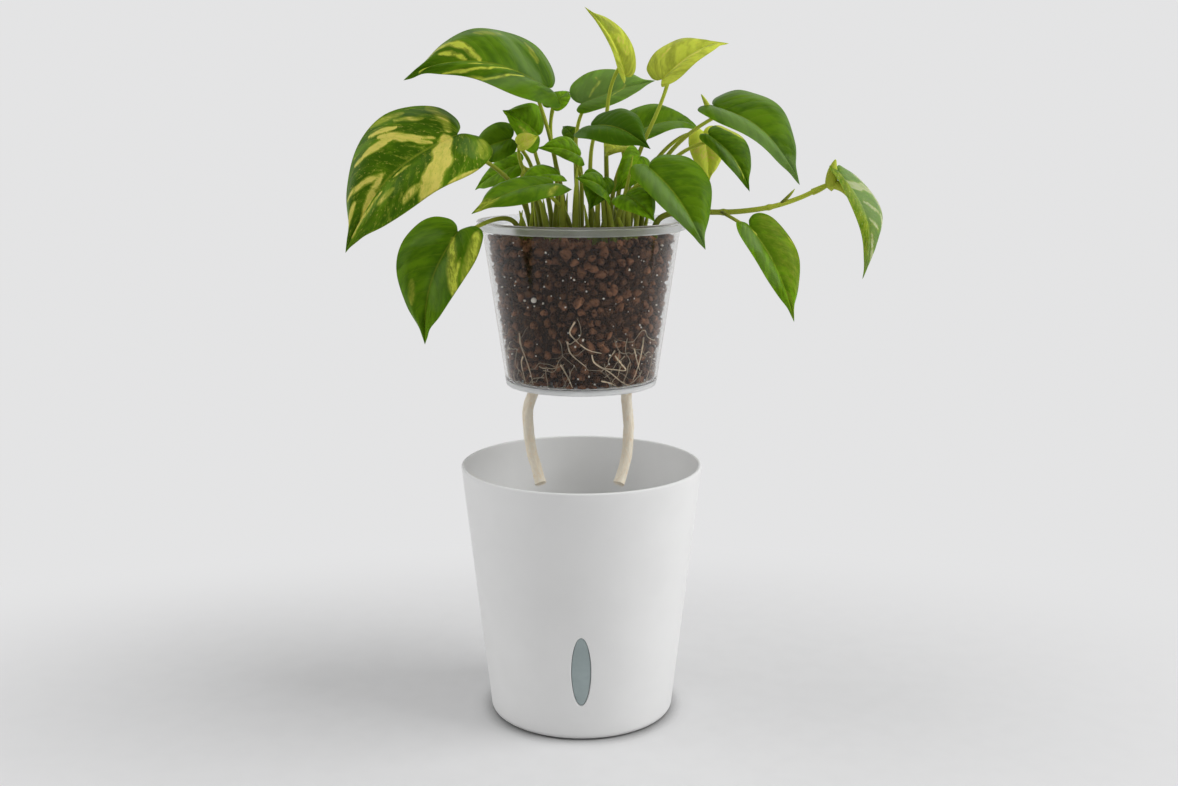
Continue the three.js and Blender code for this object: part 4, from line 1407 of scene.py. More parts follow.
class Bed:
    """The room inside the insert that the growing medium fills."""

    def __init__(self, settings):
        self.insert = settings.insert
        self.medium = settings.medium
        self.wick = settings.wick
        self.foot = INSERT_BOX[0].z
        self.plate = self.foot + self.insert.foot_height + self.insert.floor
        self.floor = self.plate + self.medium.wall_gap
        self.top = INSERT_BOX[1].z - self.medium.headspace

    def wall_radius(self, height):
        """Radius of the room at a height."""
        return insert_radius(self.insert, height - self.foot) - self.insert.wall - self.medium.wall_gap

    def fitted(self, corners, inset=0.0):
        """Corners held inside the insert's wall and floor."""
        rise = corners[:, 2]
        rounding = self.insert.inner_round
        corner = np.clip((self.plate + rounding - rise) / rounding, 0, 1)
        limit = self.wall_radius(rise) - inset - rounding * (1 - np.sqrt(1 - corner**2))
        reach = np.linalg.norm(corners[:, :2], axis=1)
        held = np.minimum(1, limit / np.maximum(reach, 1e-9))
        return np.column_stack([corners[:, :2] * held[:, None], np.maximum(rise, self.floor)])

    def daylight(self, corners):
        """Painted shade: 1 for corners at the skin, falling to dark between and behind the granules."""
        deep = self.wall_radius(corners[:, 2]) - np.linalg.norm(corners[:, :2], axis=1)
        level = np.minimum(self.top - corners[:, 2], corners[:, 2] - self.floor) + LEVEL_MARGIN
        return 1 - DEEPEST_SHADE * smooth_step(np.minimum(deep, level), DAYLIGHT_START, DAYLIGHT_END)

    def clear_of_wicks(self, point, size):
        """Whether a granule leaves the wicks their room."""
        if point[2] > self.foot + CHANNEL_TOP:
            return True
        near = min(math.hypot(point[0] - sign * self.wick.spread, point[1]) for sign in (-1, 1))
        return near > self.wick.diameter / 2 + size * 0.55

    def granule_size(self, rng):
        """A size from the smallest to the largest granule."""
        span = self.medium.large_granule - self.medium.small_granule
        return self.medium.small_granule + span * rng.random() ** 1.15

    def crumb_size(self, rng):
        """A size up to the largest crumb."""
        return self.medium.crumb * (0.45 + 0.55 * rng.random())

    def by_wall(self, depth, sized):
        """A draw of a place by the wall, up to a depth behind it, with its size."""

        def draw(rng):
            size = sized(rng)
            height = self.floor + (self.top - self.floor) * rng.random() ** 0.92
            angle = rng.random() * TURN
            radius = self.wall_radius(height) - size * 0.52 - depth * rng.random()
            return round_axis(radius, angle, height), size

        return draw

    def on_level(self, height, spread):
        """A draw of a place about a level, with its size."""

        def draw(rng):
            size = self.granule_size(rng)
            radius = (self.wall_radius(height) - size * 0.45) * math.sqrt(rng.random())
            angle = rng.random() * TURN
            level = height + spread * (rng.random() - 0.5)
            return round_axis(radius, angle, level), size

        return draw

    def bead(self):
        """The place and size of the large pale bead."""
        side, height, size = BEAD[0] * MM, self.foot + BEAD[1] * MM, BEAD[2] * MM
        reach = self.wall_radius(height) - size / 2
        return np.array([side, -math.sqrt(reach**2 - side**2), height]), size


def granule_layers(bed, rng):
    """The places and sizes of each layer's granules, and the ball that they are made from."""
    fine, coarse, rough = cube_ball(3), cube_ball(2), cube_ball(1)
    bead = bed.bead()
    wall = scatter(rng, bed.by_wall(0.8 * MM, bed.granule_size), tries=9000, crowding=0.82, kept=[bead])
    taken = [bead, *wall]
    behind = scatter(rng, bed.by_wall(4.5 * MM, bed.granule_size), tries=5000, crowding=0.62, kept=taken)
    crumbs = scatter(rng, bed.by_wall(3.0 * MM, bed.crumb_size), tries=2200, crowding=0.8, kept=taken)
    crown = scatter(rng, bed.on_level(bed.top - 2 * MM, 3 * MM), tries=3500, crowding=0.78, kept=wall)
    under = scatter(rng, bed.on_level(bed.floor + 2 * MM, 1 * MM), tries=2500, crowding=0.78, kept=wall)
    middle = (bed.floor + bed.top) / 2
    return {
        "lower": ([spot for spot in wall if spot[0][2] < middle], fine),
        "upper": ([spot for spot in wall if spot[0][2] >= middle], fine),
        "inner": (behind, coarse),
        "crumbs": (crumbs, rough),
        "crown": (crown, fine),
        "base": (under, coarse),
    }


def add_granules(form, bed, rng, spots, ball, faces, shade):
    """Adds a layer of granules, each with its own tone, darker by the layer's shade, and with shade painted
    in where they lie deep.
    """
    for point, size in spots:
        if bed.clear_of_wicks(point, size):
            corners = bed.fitted(point + crumb(ball, rng) * size, GRANULE_INSET)
            tone = (LEAST_TONE + TONE_RANGE * rng.random() ** TONE_CURVE) * shade
            form.add(corners, faces, tone=tone * bed.daylight(corners))


def medium_core(bed, bark):
    """The core behind the granules, dark with painted shade, with a channel for the upper end of each wick.
    """
    low, high = bed.floor + CORE_INSET, bed.top - CORE_INSET
    side = [(bed.wall_radius(z) - CORE_INSET, z) for z in np.linspace(low, high, num=12)]
    form = Form()
    form.turned([(0, low), *side, (0, high)], segments=96)
    piece = form.piece("growing_medium_core", [bark])
    # A tone of 0 paints the core in the ramp's darkest stop: painted shade where the granules hide the
    # light.
    piece.data.attributes.new("tone", "FLOAT", "POINT")
    channels = [wick_hole(f"channel {sign}", bed.insert, bed.wick, sign, CHANNEL_GAP) for sign in (-1, 1)]
    for channel in channels:
        channel.scale.z = 7
        channel.location.z -= CHANNEL_SINK
    bpy.context.view_layer.update()
    carve(piece, channels)
    return piece


def add_specks(form, bed, rng):
    """Adds the pale specks along the wall, and the large bead among them."""
    ball, faces = cube_ball(2)
    for _ in range(bed.medium.speck_count):
        small = rng.random() < SMALL_SPECKS
        size = (0.6 + 0.7 * rng.random() ** 2) * MM if small else LARGE_SPECK
        height = bed.floor + (bed.top - bed.floor) * rng.random()
        angle = rng.random() * TURN
        point = round_axis(bed.wall_radius(height) - size * 0.42, angle, height)
        form.add(bed.fitted(point + crumb(ball, rng, chips=3) * size), faces)
    ball, faces = cube_ball(3)
    point, size = bed.bead()
    form.add(bed.fitted(point + ball * size / 2), faces)


def lay_root(form, bed, rng, route, radius, pale):
    """Adds a root along the wall: (angle, height) pairs, with its radius and how pale it is."""
    path = []
    for angle, height in route:
        reach = bed.wall_radius(height) - radius * 1.05
        path.append((reach * math.sin(angle), -reach * math.cos(angle), height))
    path = even_path(path, ROOT_STEP)
    width = radius * np.linspace(1.1, 0.45, len(path)) * (1 + 0.12 * rng.normal(size=len(path)))
    form.tube(bed.fitted(path), np.abs(width), sides=6, seed=rng.random() * SEED_RANGE, pale=pale)


def add_roots(form, bed, rng):
    """Adds the roots that show on the front, and finer ones that wander down the wall all round."""
    radius, lowest = bed.medium.root_radius, bed.floor + ROOT_MARGIN
    for route in FRONT_ROOTS:
        places = []
        for x, z in route:
            height = max(bed.foot + z * MM, lowest)
            places.append((math.asin(x * MM / bed.wall_radius(height)), height))
        lay_root(form, bed, rng, places, radius * 1.5, 1.0)
    for _ in range(bed.medium.root_count):
        angle = rng.random() * TURN
        height = bed.floor + (3 + 30 * rng.random() ** 1.7) * MM
        heading = rng.normal() * 0.8
        places = [(angle, height)]
        for _ in range(rng.integers(5, 11)):
            heading += rng.normal() * 0.5
            angle += 0.06 * math.sin(heading)
            height = np.clip(height - 3.2 * MM * math.cos(heading), lowest, bed.top - 6 * MM)
            places.append((angle, height))
        thin = radius * (0.5 + 0.5 * rng.random())
        lay_root(form, bed, rng, places, thin, 0.2 + 0.6 * rng.random() ** 2)


class MEDIUM_OT_build(bpy.types.Operator):
    """Makes the growing medium: a core, bark granules, pale specks and fine roots."""

    bl_idname = "watering_pot.medium"
    bl_label = "Growing medium"

    def execute(self, context):
        medium = context.scene.watering_pot.medium
        bed = Bed(context.scene.watering_pot)
        rng = np.random.default_rng(17)
        bark = finish("bark granules", bark_crumb, medium.bark, medium.bark_red, medium.bark_tan)
        for layer, (spots, (ball, faces)) in granule_layers(bed, rng).items():
            form = Form()
            add_granules(form, bed, rng, spots, ball, faces, CRUMB_SHADE if layer == "crumbs" else 1)
            piece = form.piece(f"growing_medium_{layer}", [bark], sharp=55)
            settle(piece, "rootball", "bark_granules")
        settle(medium_core(bed, bark), "rootball", "bark_granules", "growing_medium")

        specks = Form()
        add_specks(specks, bed, rng)
        pale = finish("pale specks", pale_speck, medium.speck)
        settle(specks.piece("growing_medium_specks", [pale]), "rootball", "bark_granules")
        roots = Form()
        add_roots(roots, bed, rng)
        fibre = finish("fine roots", root_fibre, medium.root)
        settle(roots.piece("growing_medium_roots", [fibre]), "rootball", "bark_granules")
        return {"FINISHED"}


# Plant

# Half outline of a heart-shaped blade from its notch round the lobe to its tip, as shares of its length and
# width, and the midrib point that each one hangs on.
BLADE_MARGIN = (
    (0, 0), (-0.055, 0.07), (-0.085, 0.19), (-0.06, 0.35), (0.04, 0.46), (0.23, 0.5), (0.48, 0.43),
    (0.72, 0.25), (0.86, 0.09), (0.94, 0.035), (1, 0),
)
BLADE_MIDRIB = tuple((along, 0) for along in (0, 0.005, 0.02, 0.05, 0.15, 0.31, 0.52, 0.72, 0.86, 0.94, 1))
VEIN_SWEEP = 0.26
VEIN_CURVE = 1.35
# Rows and columns of a blade's skins, and the width from which it is wide.
WIDE_GRID = (170, 111)
SMALL_GRID = (80, 53)
WIDE_BLADE = 40
FOLD_SOFT = 1.5 * MM
QUILT_CURVE = 0.7
GROOVE_HALF = 0.8 * MM
RIB_HALF = 1.0 * MM
RIB_HEIGHT = 0.9
# Waves along each margin, and their height as a share of the blade's width.
LEFT_WAVES = 1.9
RIGHT_WAVES = 2.3
WAVE_HEIGHT = 0.024
TWIST = 0.14
ARCH = 0.05
EDGE_DROOP = 0.03
STROKE_END = 0.45
STROKE_EDGE = 1.5
STALK_DEPTH = 0.65 * MM
STALK_OVERLAP = 0.12
STALK_STIFFNESS = 0.5
STALK_SINK = 6
SPIKE_POINTS = 14
SPIKE_TAPER = 0.84
HOOK_START = 0.7
YOUNG_SEED = 3
# Height in millimetres from which a stalk stands on the runner.
RUNNER_LEVEL = 1
MERGE_GAP = 0.01 * MM
UP = (0, 0, 1)


@dataclass
class Leaf:
    """A leaf in millimetres from the middle of the medium's top: where its stalk stands, where the stalk
    meets the blade, the tip, the side that the face looks to, the blade's width, the bow of its midrib out
    of the face and the fold along it in degrees. Swerve bends the midrib across, skew widens the one half
    and narrows the other, and hook curls the tip across. Rise, trail and drop say how the stalk leaves its
    root and comes in under the blade. The lift makes the green livelier or duller, partly for the leaf's
    own green and partly as light and shade painted onto the whole leaf. Cream and sheen are strokes of
    variegation and of a grey-green reflection painted into the colour, each a half width, a strength and
    points, as shares of the blade's length and, across, of its half width. Spikes are pointed sheaths:
    start, end and bend, and the radius. Young are small leaves that stand by it."""

    name: str
    tone: str
    root: tuple
    attach: tuple
    tip: tuple
    face: tuple
    width: float
    bow: float
    fold: float
    swerve: float = 0.0
    skew: float = 0.0
    hook: float = 0.0
    rise: tuple = UP
    trail: float = 0.15
    drop: float = 0.3
    lift: float = 0.0
    cream: tuple = ()
    bloom: tuple = ()
    spikes: tuple = ()
    young: tuple = ()


# A leaf's lift stands partly for its own green and partly for light and shade painted onto the whole leaf.
LEAVES = (
    Leaf("leaf_runner_hanging", "mid", (84, -12.2, 15.3), (99.5, -20, 8), (126, -31, -48),
         (0.45, -0.8, 0.35),
         31, 0.1, 12, skew=0.2, rise=(0, -1, 0), trail=0.3, drop=0.1, lift=-0.25,
         cream=((0.18, 0.18, (0, 0.6), (0.35, 0.75), (0.7, 0.4)),
                (0.012, 0.6, (0.24, 0.92), (0.36, 0.93)), (0.03, 0.2, (0.7, 0), (0.95, 0))),
         bloom=((0.09, 0.55, (0, -0.45), (0.25, -0.6)), (0.08, 0.25, (0.25, -0.6), (0.6, -0.4)))),
    Leaf("leaf_runner_tip", "ivory", (140.3, -8, 28.2), (153.5, -8, 38), (168, -18, -24),
         (0.75, -0.55, 0.3),
         32, 0.17, 10, skew=0.15, rise=(0.9, 0.09, 0.42), lift=0.3,
         cream=((0.04, 1.2, (0.1, -0.1), (0.16, 0.35), (0.2, 0.8), (0.22, 1.1)),
                (0.024, 0.95, (0.02, 0.7), (0.14, 1)),
                (0.03, 0.95, (0.22, 0.9), (0.36, 0.96), (0.52, 0.97)),
                (0.012, 0.8, (0.3, 0.1), (0.42, 0.5), (0.5, 0.66)),
                (0.03, 1, (0.46, 0.66), (0.6, 0.82), (0.78, 0.66)),
                (0.2, 0.2, (0, -0.6), (0.5, -0.6), (0.9, -0.2)), (0.012, 0.6, (0.46, 0.1), (0.6, 0.36)),
                (0.012, 0.6, (0.6, 0.08), (0.86, 0.12))),
         bloom=((0.22, 0.8, (0.05, 0.4), (0.5, 0.45)), (0.1, 0.6, (0.55, 0.25), (0.9, 0.1))),
         spikes=(((138, -8, 27), (151, -8.8, 34), (0, 0, -0.6), 2),
                 ((149, -9.6, 30.5), (150.8, -10.6, 46), (-1, 0, 0), 3.8),
                 ((148.5, -9.8, 32), (160, -13, 22), (2, -1, 3), 2.9))),
    Leaf("leaf_upper_left", "dark", (-12, 6, 0.3), (-20, 2, 88), (-103, -22, 95), (-0.1, -0.65, 0.75),
         60, 0.14, 4, swerve=-0.03, skew=-0.3, hook=0.06, lift=0.1,
         cream=((0.015, 0.68, (0.25, 0.05), (0.46, 0.48), (0.6, 0.56), (0.76, 0.42)),
                (0.012, 0.7, (0.56, 0.03), (0.75, 0.08), (0.9, 0.08)),
                (0.013, 0.58, (0.2, 0.3), (0.36, 0.64), (0.5, 0.8)), (0.012, 0.5, (0.4, 0.22), (0.6, 0.34)),
                (0.024, 0.58, (0.5, -0.03), (0.6, -0.26), (0.69, -0.36), (0.79, -0.33), (0.88, -0.14)),
                (0.016, 0.55, (0.58, -0.03), (0.68, -0.14), (0.78, -0.16)),
                (0.035, 0.3, (0.3, -0.75), (0.5, -0.6)), (0.02, 0.4, (0.06, -0.35), (0.14, -0.75)),
                (0.02, 0.35, (0.5, 0.75), (0.62, 0.72))),
         bloom=((0.055, 0.42, (0.36, -0.95), (0.27, -0.54), (0.18, -0.24), (0.06, -0.02)),
                (0.05, 0.3, (0.1, 0.2), (0.3, 0.7), (0.5, 0.85)))),
    Leaf("leaf_left_variegated", "cream", (-30, -12, 0.3), (-72, -22, 61), (-136, -42, -6),
         (-0.3, -0.82, 0.48),
         71, 0.13, 4, swerve=-0.05, skew=-0.08,
         cream=((0.052, 1.2, (0.06, -0.02), (0.1, 0.08), (0.21, 0.52), (0.43, 0.9), (0.5, 1.1)),
                (0.02, 0.95, (0.1, 0.97), (0.2, 0.98), (0.3, 0.99)),
                (0.03, 0.95, (0.19, -0.2), (0.276, -0.44), (0.35, -0.6)),
                (0.022, 0.8, (0.22, -0.58), (0.3, -0.68), (0.38, -0.78)),
                (0.022, 0.9, (0.31, -0.44), (0.4, -0.49), (0.49, -0.54)),
                (0.016, 0.9, (0.16, -0.05), (0.26, -0.33)), (0.014, 0.7, (0.12, -0.1), (0.2, -0.27)),
                (0.014, 0.85, (0.49, -0.52), (0.57, -0.58)),
                (0.03, 0.4, (-0.03, -0.8), (-0.02, -0.45), (0.01, -0.1)),
                (0.016, 0.66, (0.5, -0.08), (0.59, -0.2), (0.75, -0.35)),
                (0.019, 0.7, (0.51, -0.1), (0.64, -0.03), (0.79, 0.02)),
                (0.014, 0.5, (0.58, 0.12), (0.76, 0.12)), (0.016, 0.65, (0.73, -0.18), (0.95, -0.1)),
                (0.014, 0.55, (0.72, 0.1), (0.9, 0.04)), (0.014, 0.5, (0.35, 0.13), (0.47, 0.1)),
                (0.024, 0.5, (0.4, 0.68), (0.54, 0.62)), (0.024, 0.45, (0.52, 0.32), (0.66, 0.25)),
                (0.04, 0.3, (-0.06, 0.4), (0.02, 0.8)), (0.03, 0.4, (0.12, -0.82), (0.32, -0.95)),
                (0.02, 0.4, (0.08, -0.5), (0.2, -0.75))),
         bloom=((0.05, 0.2, (0, 0.3), (0.05, 0.7)),)),
    Leaf("leaf_lower_left", "dark", (-36, -26, 0.3), (-69, -62, 8), (-88, -70, -55), (-0.25, -0.93, 0.2),
         44, 0.06, 6, swerve=-0.08, skew=-0.15, lift=0.2,
         cream=((0.05, 0.46, (0.08, 0.03), (0.3, 0.5), (0.55, 0.9)),
                (0.055, 0.44, (-0.04, 0.6), (0.14, 0.86), (0.4, 0.98)),
                (0.03, 0.3, (0.5, -0.4), (0.7, -0.3)), (0.016, 0.5, (0.2, 0.6), (0.36, 0.72))),
         bloom=((0.1, 0.15, (0.3, 0.2), (0.65, 0.35)), (0.06, 0.15, (0.05, -0.3), (0.2, -0.7)))),
    Leaf("leaf_top_spear", "lime", (16, 8, 0.3), (26, 8, 96), (2, -8, 134), (0.6, -0.75, 0.2),
         16, 0.06, 24, swerve=-0.06, skew=-0.3, lift=0.2,
         cream=((0.04, 0.45, (0.2, -0.5), (0.5, -0.3)), (0.03, 0.4, (0.3, 0.45), (0.7, 0.25))),
         bloom=((0.05, 0.2, (0.55, -0.2), (0.9, 0)),)),
    Leaf("leaf_top_right", "lime", (26, 0, 0.3), (48, -6, 93), (88, 8, 114), (-0.2, -0.5, 0.84),
         33, 0.12, 18, skew=0.1, lift=0.1,
         cream=((0.03, 0.75, (0.1, -0.2), (0.5, -0.5)), (0.015, 0.7, (0.3, -0.1), (0.7, -0.15)),
                (0.02, 0.6, (0.1, 0.5), (0.3, 0.6)))),
    Leaf("leaf_right_upper", "dark", (36, -2, 0.3), (79, -4, 77), (128, -24, 32), (0.3, -0.6, 0.74),
         45, 0.2, 8, swerve=-0.06, skew=0.27, lift=0.15,
         bloom=((0.13, 0.5, (0.05, -0.45), (0.5, -0.55), (0.8, -0.2)),
                (0.06, 0.5, (0.78, 0), (0.98, 0)), (0.03, 0.3, (0, 0.9), (0.4, 1), (0.75, 0.5))),
         spikes=(((77, -5, 72), (71, -6, 84), (0.6, 0, 0), 1.9),)),
    Leaf("leaf_right_mid", "dark", (36, 12, 0.3), (78, 18, 60), (103, 14, 26), (0.3, -0.6, 0.7),
         28, 0.1, 10, swerve=0.03, skew=0.2, lift=0.15,
         cream=((0.05, 0.85, (-0.04, 0.7), (0.12, 0.95), (0.34, 1)),
                (0.02, 0.5, (0.5, -0.2), (0.8, -0.2))),
         bloom=((0.08, 0.4, (0.2, -0.5), (0.7, -0.4)),)),
    Leaf("leaf_right_pale", "lime", (30, 22, 0.3), (76, 35, 62), (80, 39, 30), (0.3, -0.9, 0.2),
         24, 0.08, 10, lift=0.8,
         cream=((0.4, 0.5, (0.3, -0.5), (0.3, 0.5)),)),
    Leaf("leaf_right_front", "dark", (20, -20, 0.3), (39, -42, 43), (70, -66, -2), (0.25, -0.7, 0.65),
         41, 0.1, 8, skew=0.25, lift=0.35,
         bloom=((0.11, 0.5, (-0.02, -0.45), (0.5, -0.5), (0.75, -0.2)),
                (0.05, 0.45, (0.75, 0), (0.98, 0)))),
    Leaf("leaf_centre_back", "mid", (-2, 18, 0.3), (0, 26, 79), (46, 40, 93), (0, -0.9, 0.4),
         25, 0.06, 8, skew=0.33, lift=-0.3,
         cream=((0.012, 0.5, (0.1, 0.1), (0.3, 0.5), (0.25, 0.8)), (0.012, 0.5, (0.35, -0.4), (0.6, 0.1))),
         bloom=((0.3, 0.5, (0, 0.2), (0.9, 0.2)),)),
    Leaf("leaf_centre_dark", "dark", (6, -14, 0.3), (6, -18, 66), (40, -40, 53), (0, -0.6, 0.8),
         38, 0.14, 8, lift=-0.8,
         bloom=((0.06, 0.25, (0, -0.8), (0.2, -0.9)), (0.06, 0.2, (0.1, 0.9), (0.4, 0.9)))),
    Leaf("leaf_left_light", "mid", (-18, 14, 0.3), (-26, 14, 60), (-47, 2, 75), (0.3, -0.8, 0.5),
         32, 0.08, 8, lift=0.25,
         cream=((0.05, 0.4, (0.2, 0.5), (0.6, 0.4)),)),
    Leaf("leaf_small_upper", "mid", (-10, 22, 0.3), (-18, 16, 77), (-7, 32, 86), (0, -0.6, 0.8),
         16, 0.1, 10),
    Leaf("leaf_left_mid", "dark", (-26, 16, 0.3), (-43, 20, 58), (-70, 30, 45), (-0.2, -0.8, 0.5),
         27, 0.1, 8, lift=0.2,
         bloom=((0.1, 0.3, (0.2, 0.4), (0.6, 0.3)),)),
    Leaf("leaf_left_small", "lime", (-24, 0, 0.3), (-37, -8, 55), (-25, -6, 60), (-0.2, -0.9, 0.3),
         11, 0.08, 10, lift=0.8,
         cream=((0.4, 0.5, (0.3, -0.5), (0.6, 0.5)),),
         young=(Leaf("", "lime", (-20, -6, 0.3), (-29, -12, 31), (-34, -10, 43), (0, -0.9, 0.4),
                     13, 0.1, 10, lift=-0.4),)),
    Leaf("leaf_front_left", "dark", (-6, -22, 0.3), (-17, -34, 33), (-61, -66, 18), (-0.1, -0.45, 0.88),
         36, 0.08, 8, skew=0.2, lift=0.3,
         cream=((0.06, 0.4, (0.7, 0.1), (0.95, 0)), (0.03, 0.35, (0.1, 0.6), (0.3, 0.9))),
         spikes=(((-18.5, -26, -5), (-24.6, -28, 25), (1, 0, 0), 2.3),
                 ((-10.5, -26, -5), (-11, -27, 31), (0, 0, 0), 2.5),
                 ((-30, -24, -5), (-36, -26, 17), (0, 0, 0), 2.1),
                 ((-3, -27, -5), (-2, -28, 42), (-1, 0, 0), 2.1))),
    Leaf("leaf_left_low", "mid", (-30, 28, 0.3), (-39, 34, 42), (-68, 50, 25), (-0.2, -0.7, 0.6),
         22, 0.08, 8),
    Leaf("leaf_front_centre", "dark", (10, -30, 0.3), (14, -47, 30), (-3, -64, 38), (0, -0.8, 0.6),
         20, 0.1, 10, skew=0.2, lift=0.1,
         spikes=(((13, -24, -5), (30, -30, 49), (2, 0, -6), 1.8),
                 ((8, -30, -5), (11, -31, 34), (0, 0, 0), 1.9),
                 ((19, -30, -5), (14, -33, 30), (1, 0, 0), 2),
                 ((31, -25, -5), (36, -26, 44), (0, 0, 0), 1.6)),
         young=(Leaf("", "dark", (14, -32, 0.3), (13, -40, 37), (5, -51, 19), (0.2, -0.9, 0.3),
                     19, 0.1, 14, skew=-0.2),)),
    Leaf("leaf_right_back", "dark", (18, 28, 0.3), (34, 32, 62), (77, 54, 61), (0, -0.6, 0.8),
         30, 0.17, 8, skew=0.3, lift=0.2,
         bloom=((0.12, 0.35, (0, -0.3), (0.5, -0.6)),)),
    Leaf("leaf_front_right", "mid", (28, -28, 0.3), (26, -40, 27), (42, -58, 13), (0.2, -0.8, 0.5),
         24, 0.1, 10,
         young=(Leaf("", "mid", (24, -12, 0.3), (35, -6, 48), (19, -22, 27), (0.5, -0.8, 0.4),
                     20, 0.12, 16),)),
    Leaf("leaf_centre_band", "mid", (8, 2, 0.3), (-1, 1, 48), (-26, -12, 53), (0, -0.75, 0.65),
         20, 0.12, 10),
    Leaf("leaf_centre_small", "dark", (0, 34, 0.3), (-4, 36, 58), (-12, 46, 65), (0, -0.7, 0.7),
         12, 0.1, 10),
    Leaf("leaf_centre_under", "lime", (20, -6, 0.3), (26, 4, 54), (14, -10, 48), (0, -0.5, 0.85),
         20, 0.1, 10, lift=-0.2),
    Leaf("leaf_left_inner", "mid", (-16, -10, 0.3), (-13, -10, 37), (-37, -22, 33), (0, -0.5, 0.86),
         22, 0.1, 10),
)

# Runner, in millimetres from the middle of the medium's top.
VINE_ROUTE = (
    (44, -10, 0.3), (44, -10, 6), (47, -10, 11.5), (54, -10, 14.5), (65, -10, 15.3), (87, -10, 15.3),
    (102, -10, 16.5), (116, -10, 19), (130, -9, 23.5), (140, -8, 28),
)
VINE_NODES = (0.3, 0.5, 0.74)
# The stipule on the runner: start, end and bend.
VINE_STIPULE = ((119.5, -10, 20.6), (127, -11, 29), (1, 0, 0.6))


def on_medium(point):
    """A place in metres from one in millimetres from the middle of the medium's top."""
    return np.array([0, 0, MEDIUM_BOX[1].z]) + np.asarray(point, float) * MM


class Blade:
    """The axes of a leaf's blade and the points of its middle surface."""

    def __init__(self, leaf):
        self.leaf = leaf
        self.attach = on_medium(leaf.attach)
        chord = on_medium(leaf.tip) - self.attach
        self.length = np.linalg.norm(chord)
        self.along = chord / self.length
        face = np.array(leaf.face, float)
        self.face = unit(face - self.along * face.dot(self.along))
        self.across = np.cross(self.face, self.along)

    def points(self, share, offset, relief):
        """Points at shares along the chord, with offsets across it and heights out of the face."""
        leaf = self.leaf
        hump = self.length * np.sin(math.pi * share)
        skewed = offset * (1 + leaf.skew * np.sign(offset))
        curl = leaf.hook * self.length * np.maximum(0, (share - HOOK_START) / (1 - HOOK_START)) ** 2
        folded = (np.hypot(skewed, FOLD_SOFT) - FOLD_SOFT) * math.tan(math.radians(leaf.fold))
        rise = leaf.bow * hump + folded + relief
        sideways = skewed + leaf.swerve * hump + curl
        spine = self.attach + self.along * (self.length * share)[..., None]
        return spine + self.across * sideways[..., None] + self.face * rise[..., None]


def stroke_cover(strokes, share, across, slimness):
    """How strongly strokes, slimmer at their ends, cover the points of a blade, whose half width is that
    share of its length."""
    cover = np.zeros(share.shape)
    for half, strength, *route in strokes:
        near = np.full(share.shape, np.inf)
        lines = [(a, b[0] - a[0], (b[1] - a[1]) * slimness) for a, b in zip(route, route[1:])]
        spans = [math.hypot(dx, dy) for _, dx, dy in lines]
        done = 0.0
        for (start, dx, dy), span in zip(lines, spans):
            x, y = share - start[0], (across - start[1]) * slimness
            t = np.clip((x * dx + y * dy) / span**2, 0, 1)
            swell = np.clip(np.sin(math.pi * (done + t * span) / sum(spans)), 0, 1) ** 0.6
            wide = STROKE_END + (1 - STROKE_END) * swell
            near = np.minimum(near, np.hypot(x - t * dx, y - t * dy) / wide)
            done += span
        cover = np.maximum(cover, strength * np.clip(STROKE_EDGE - near / half, 0, 1))
    return cover


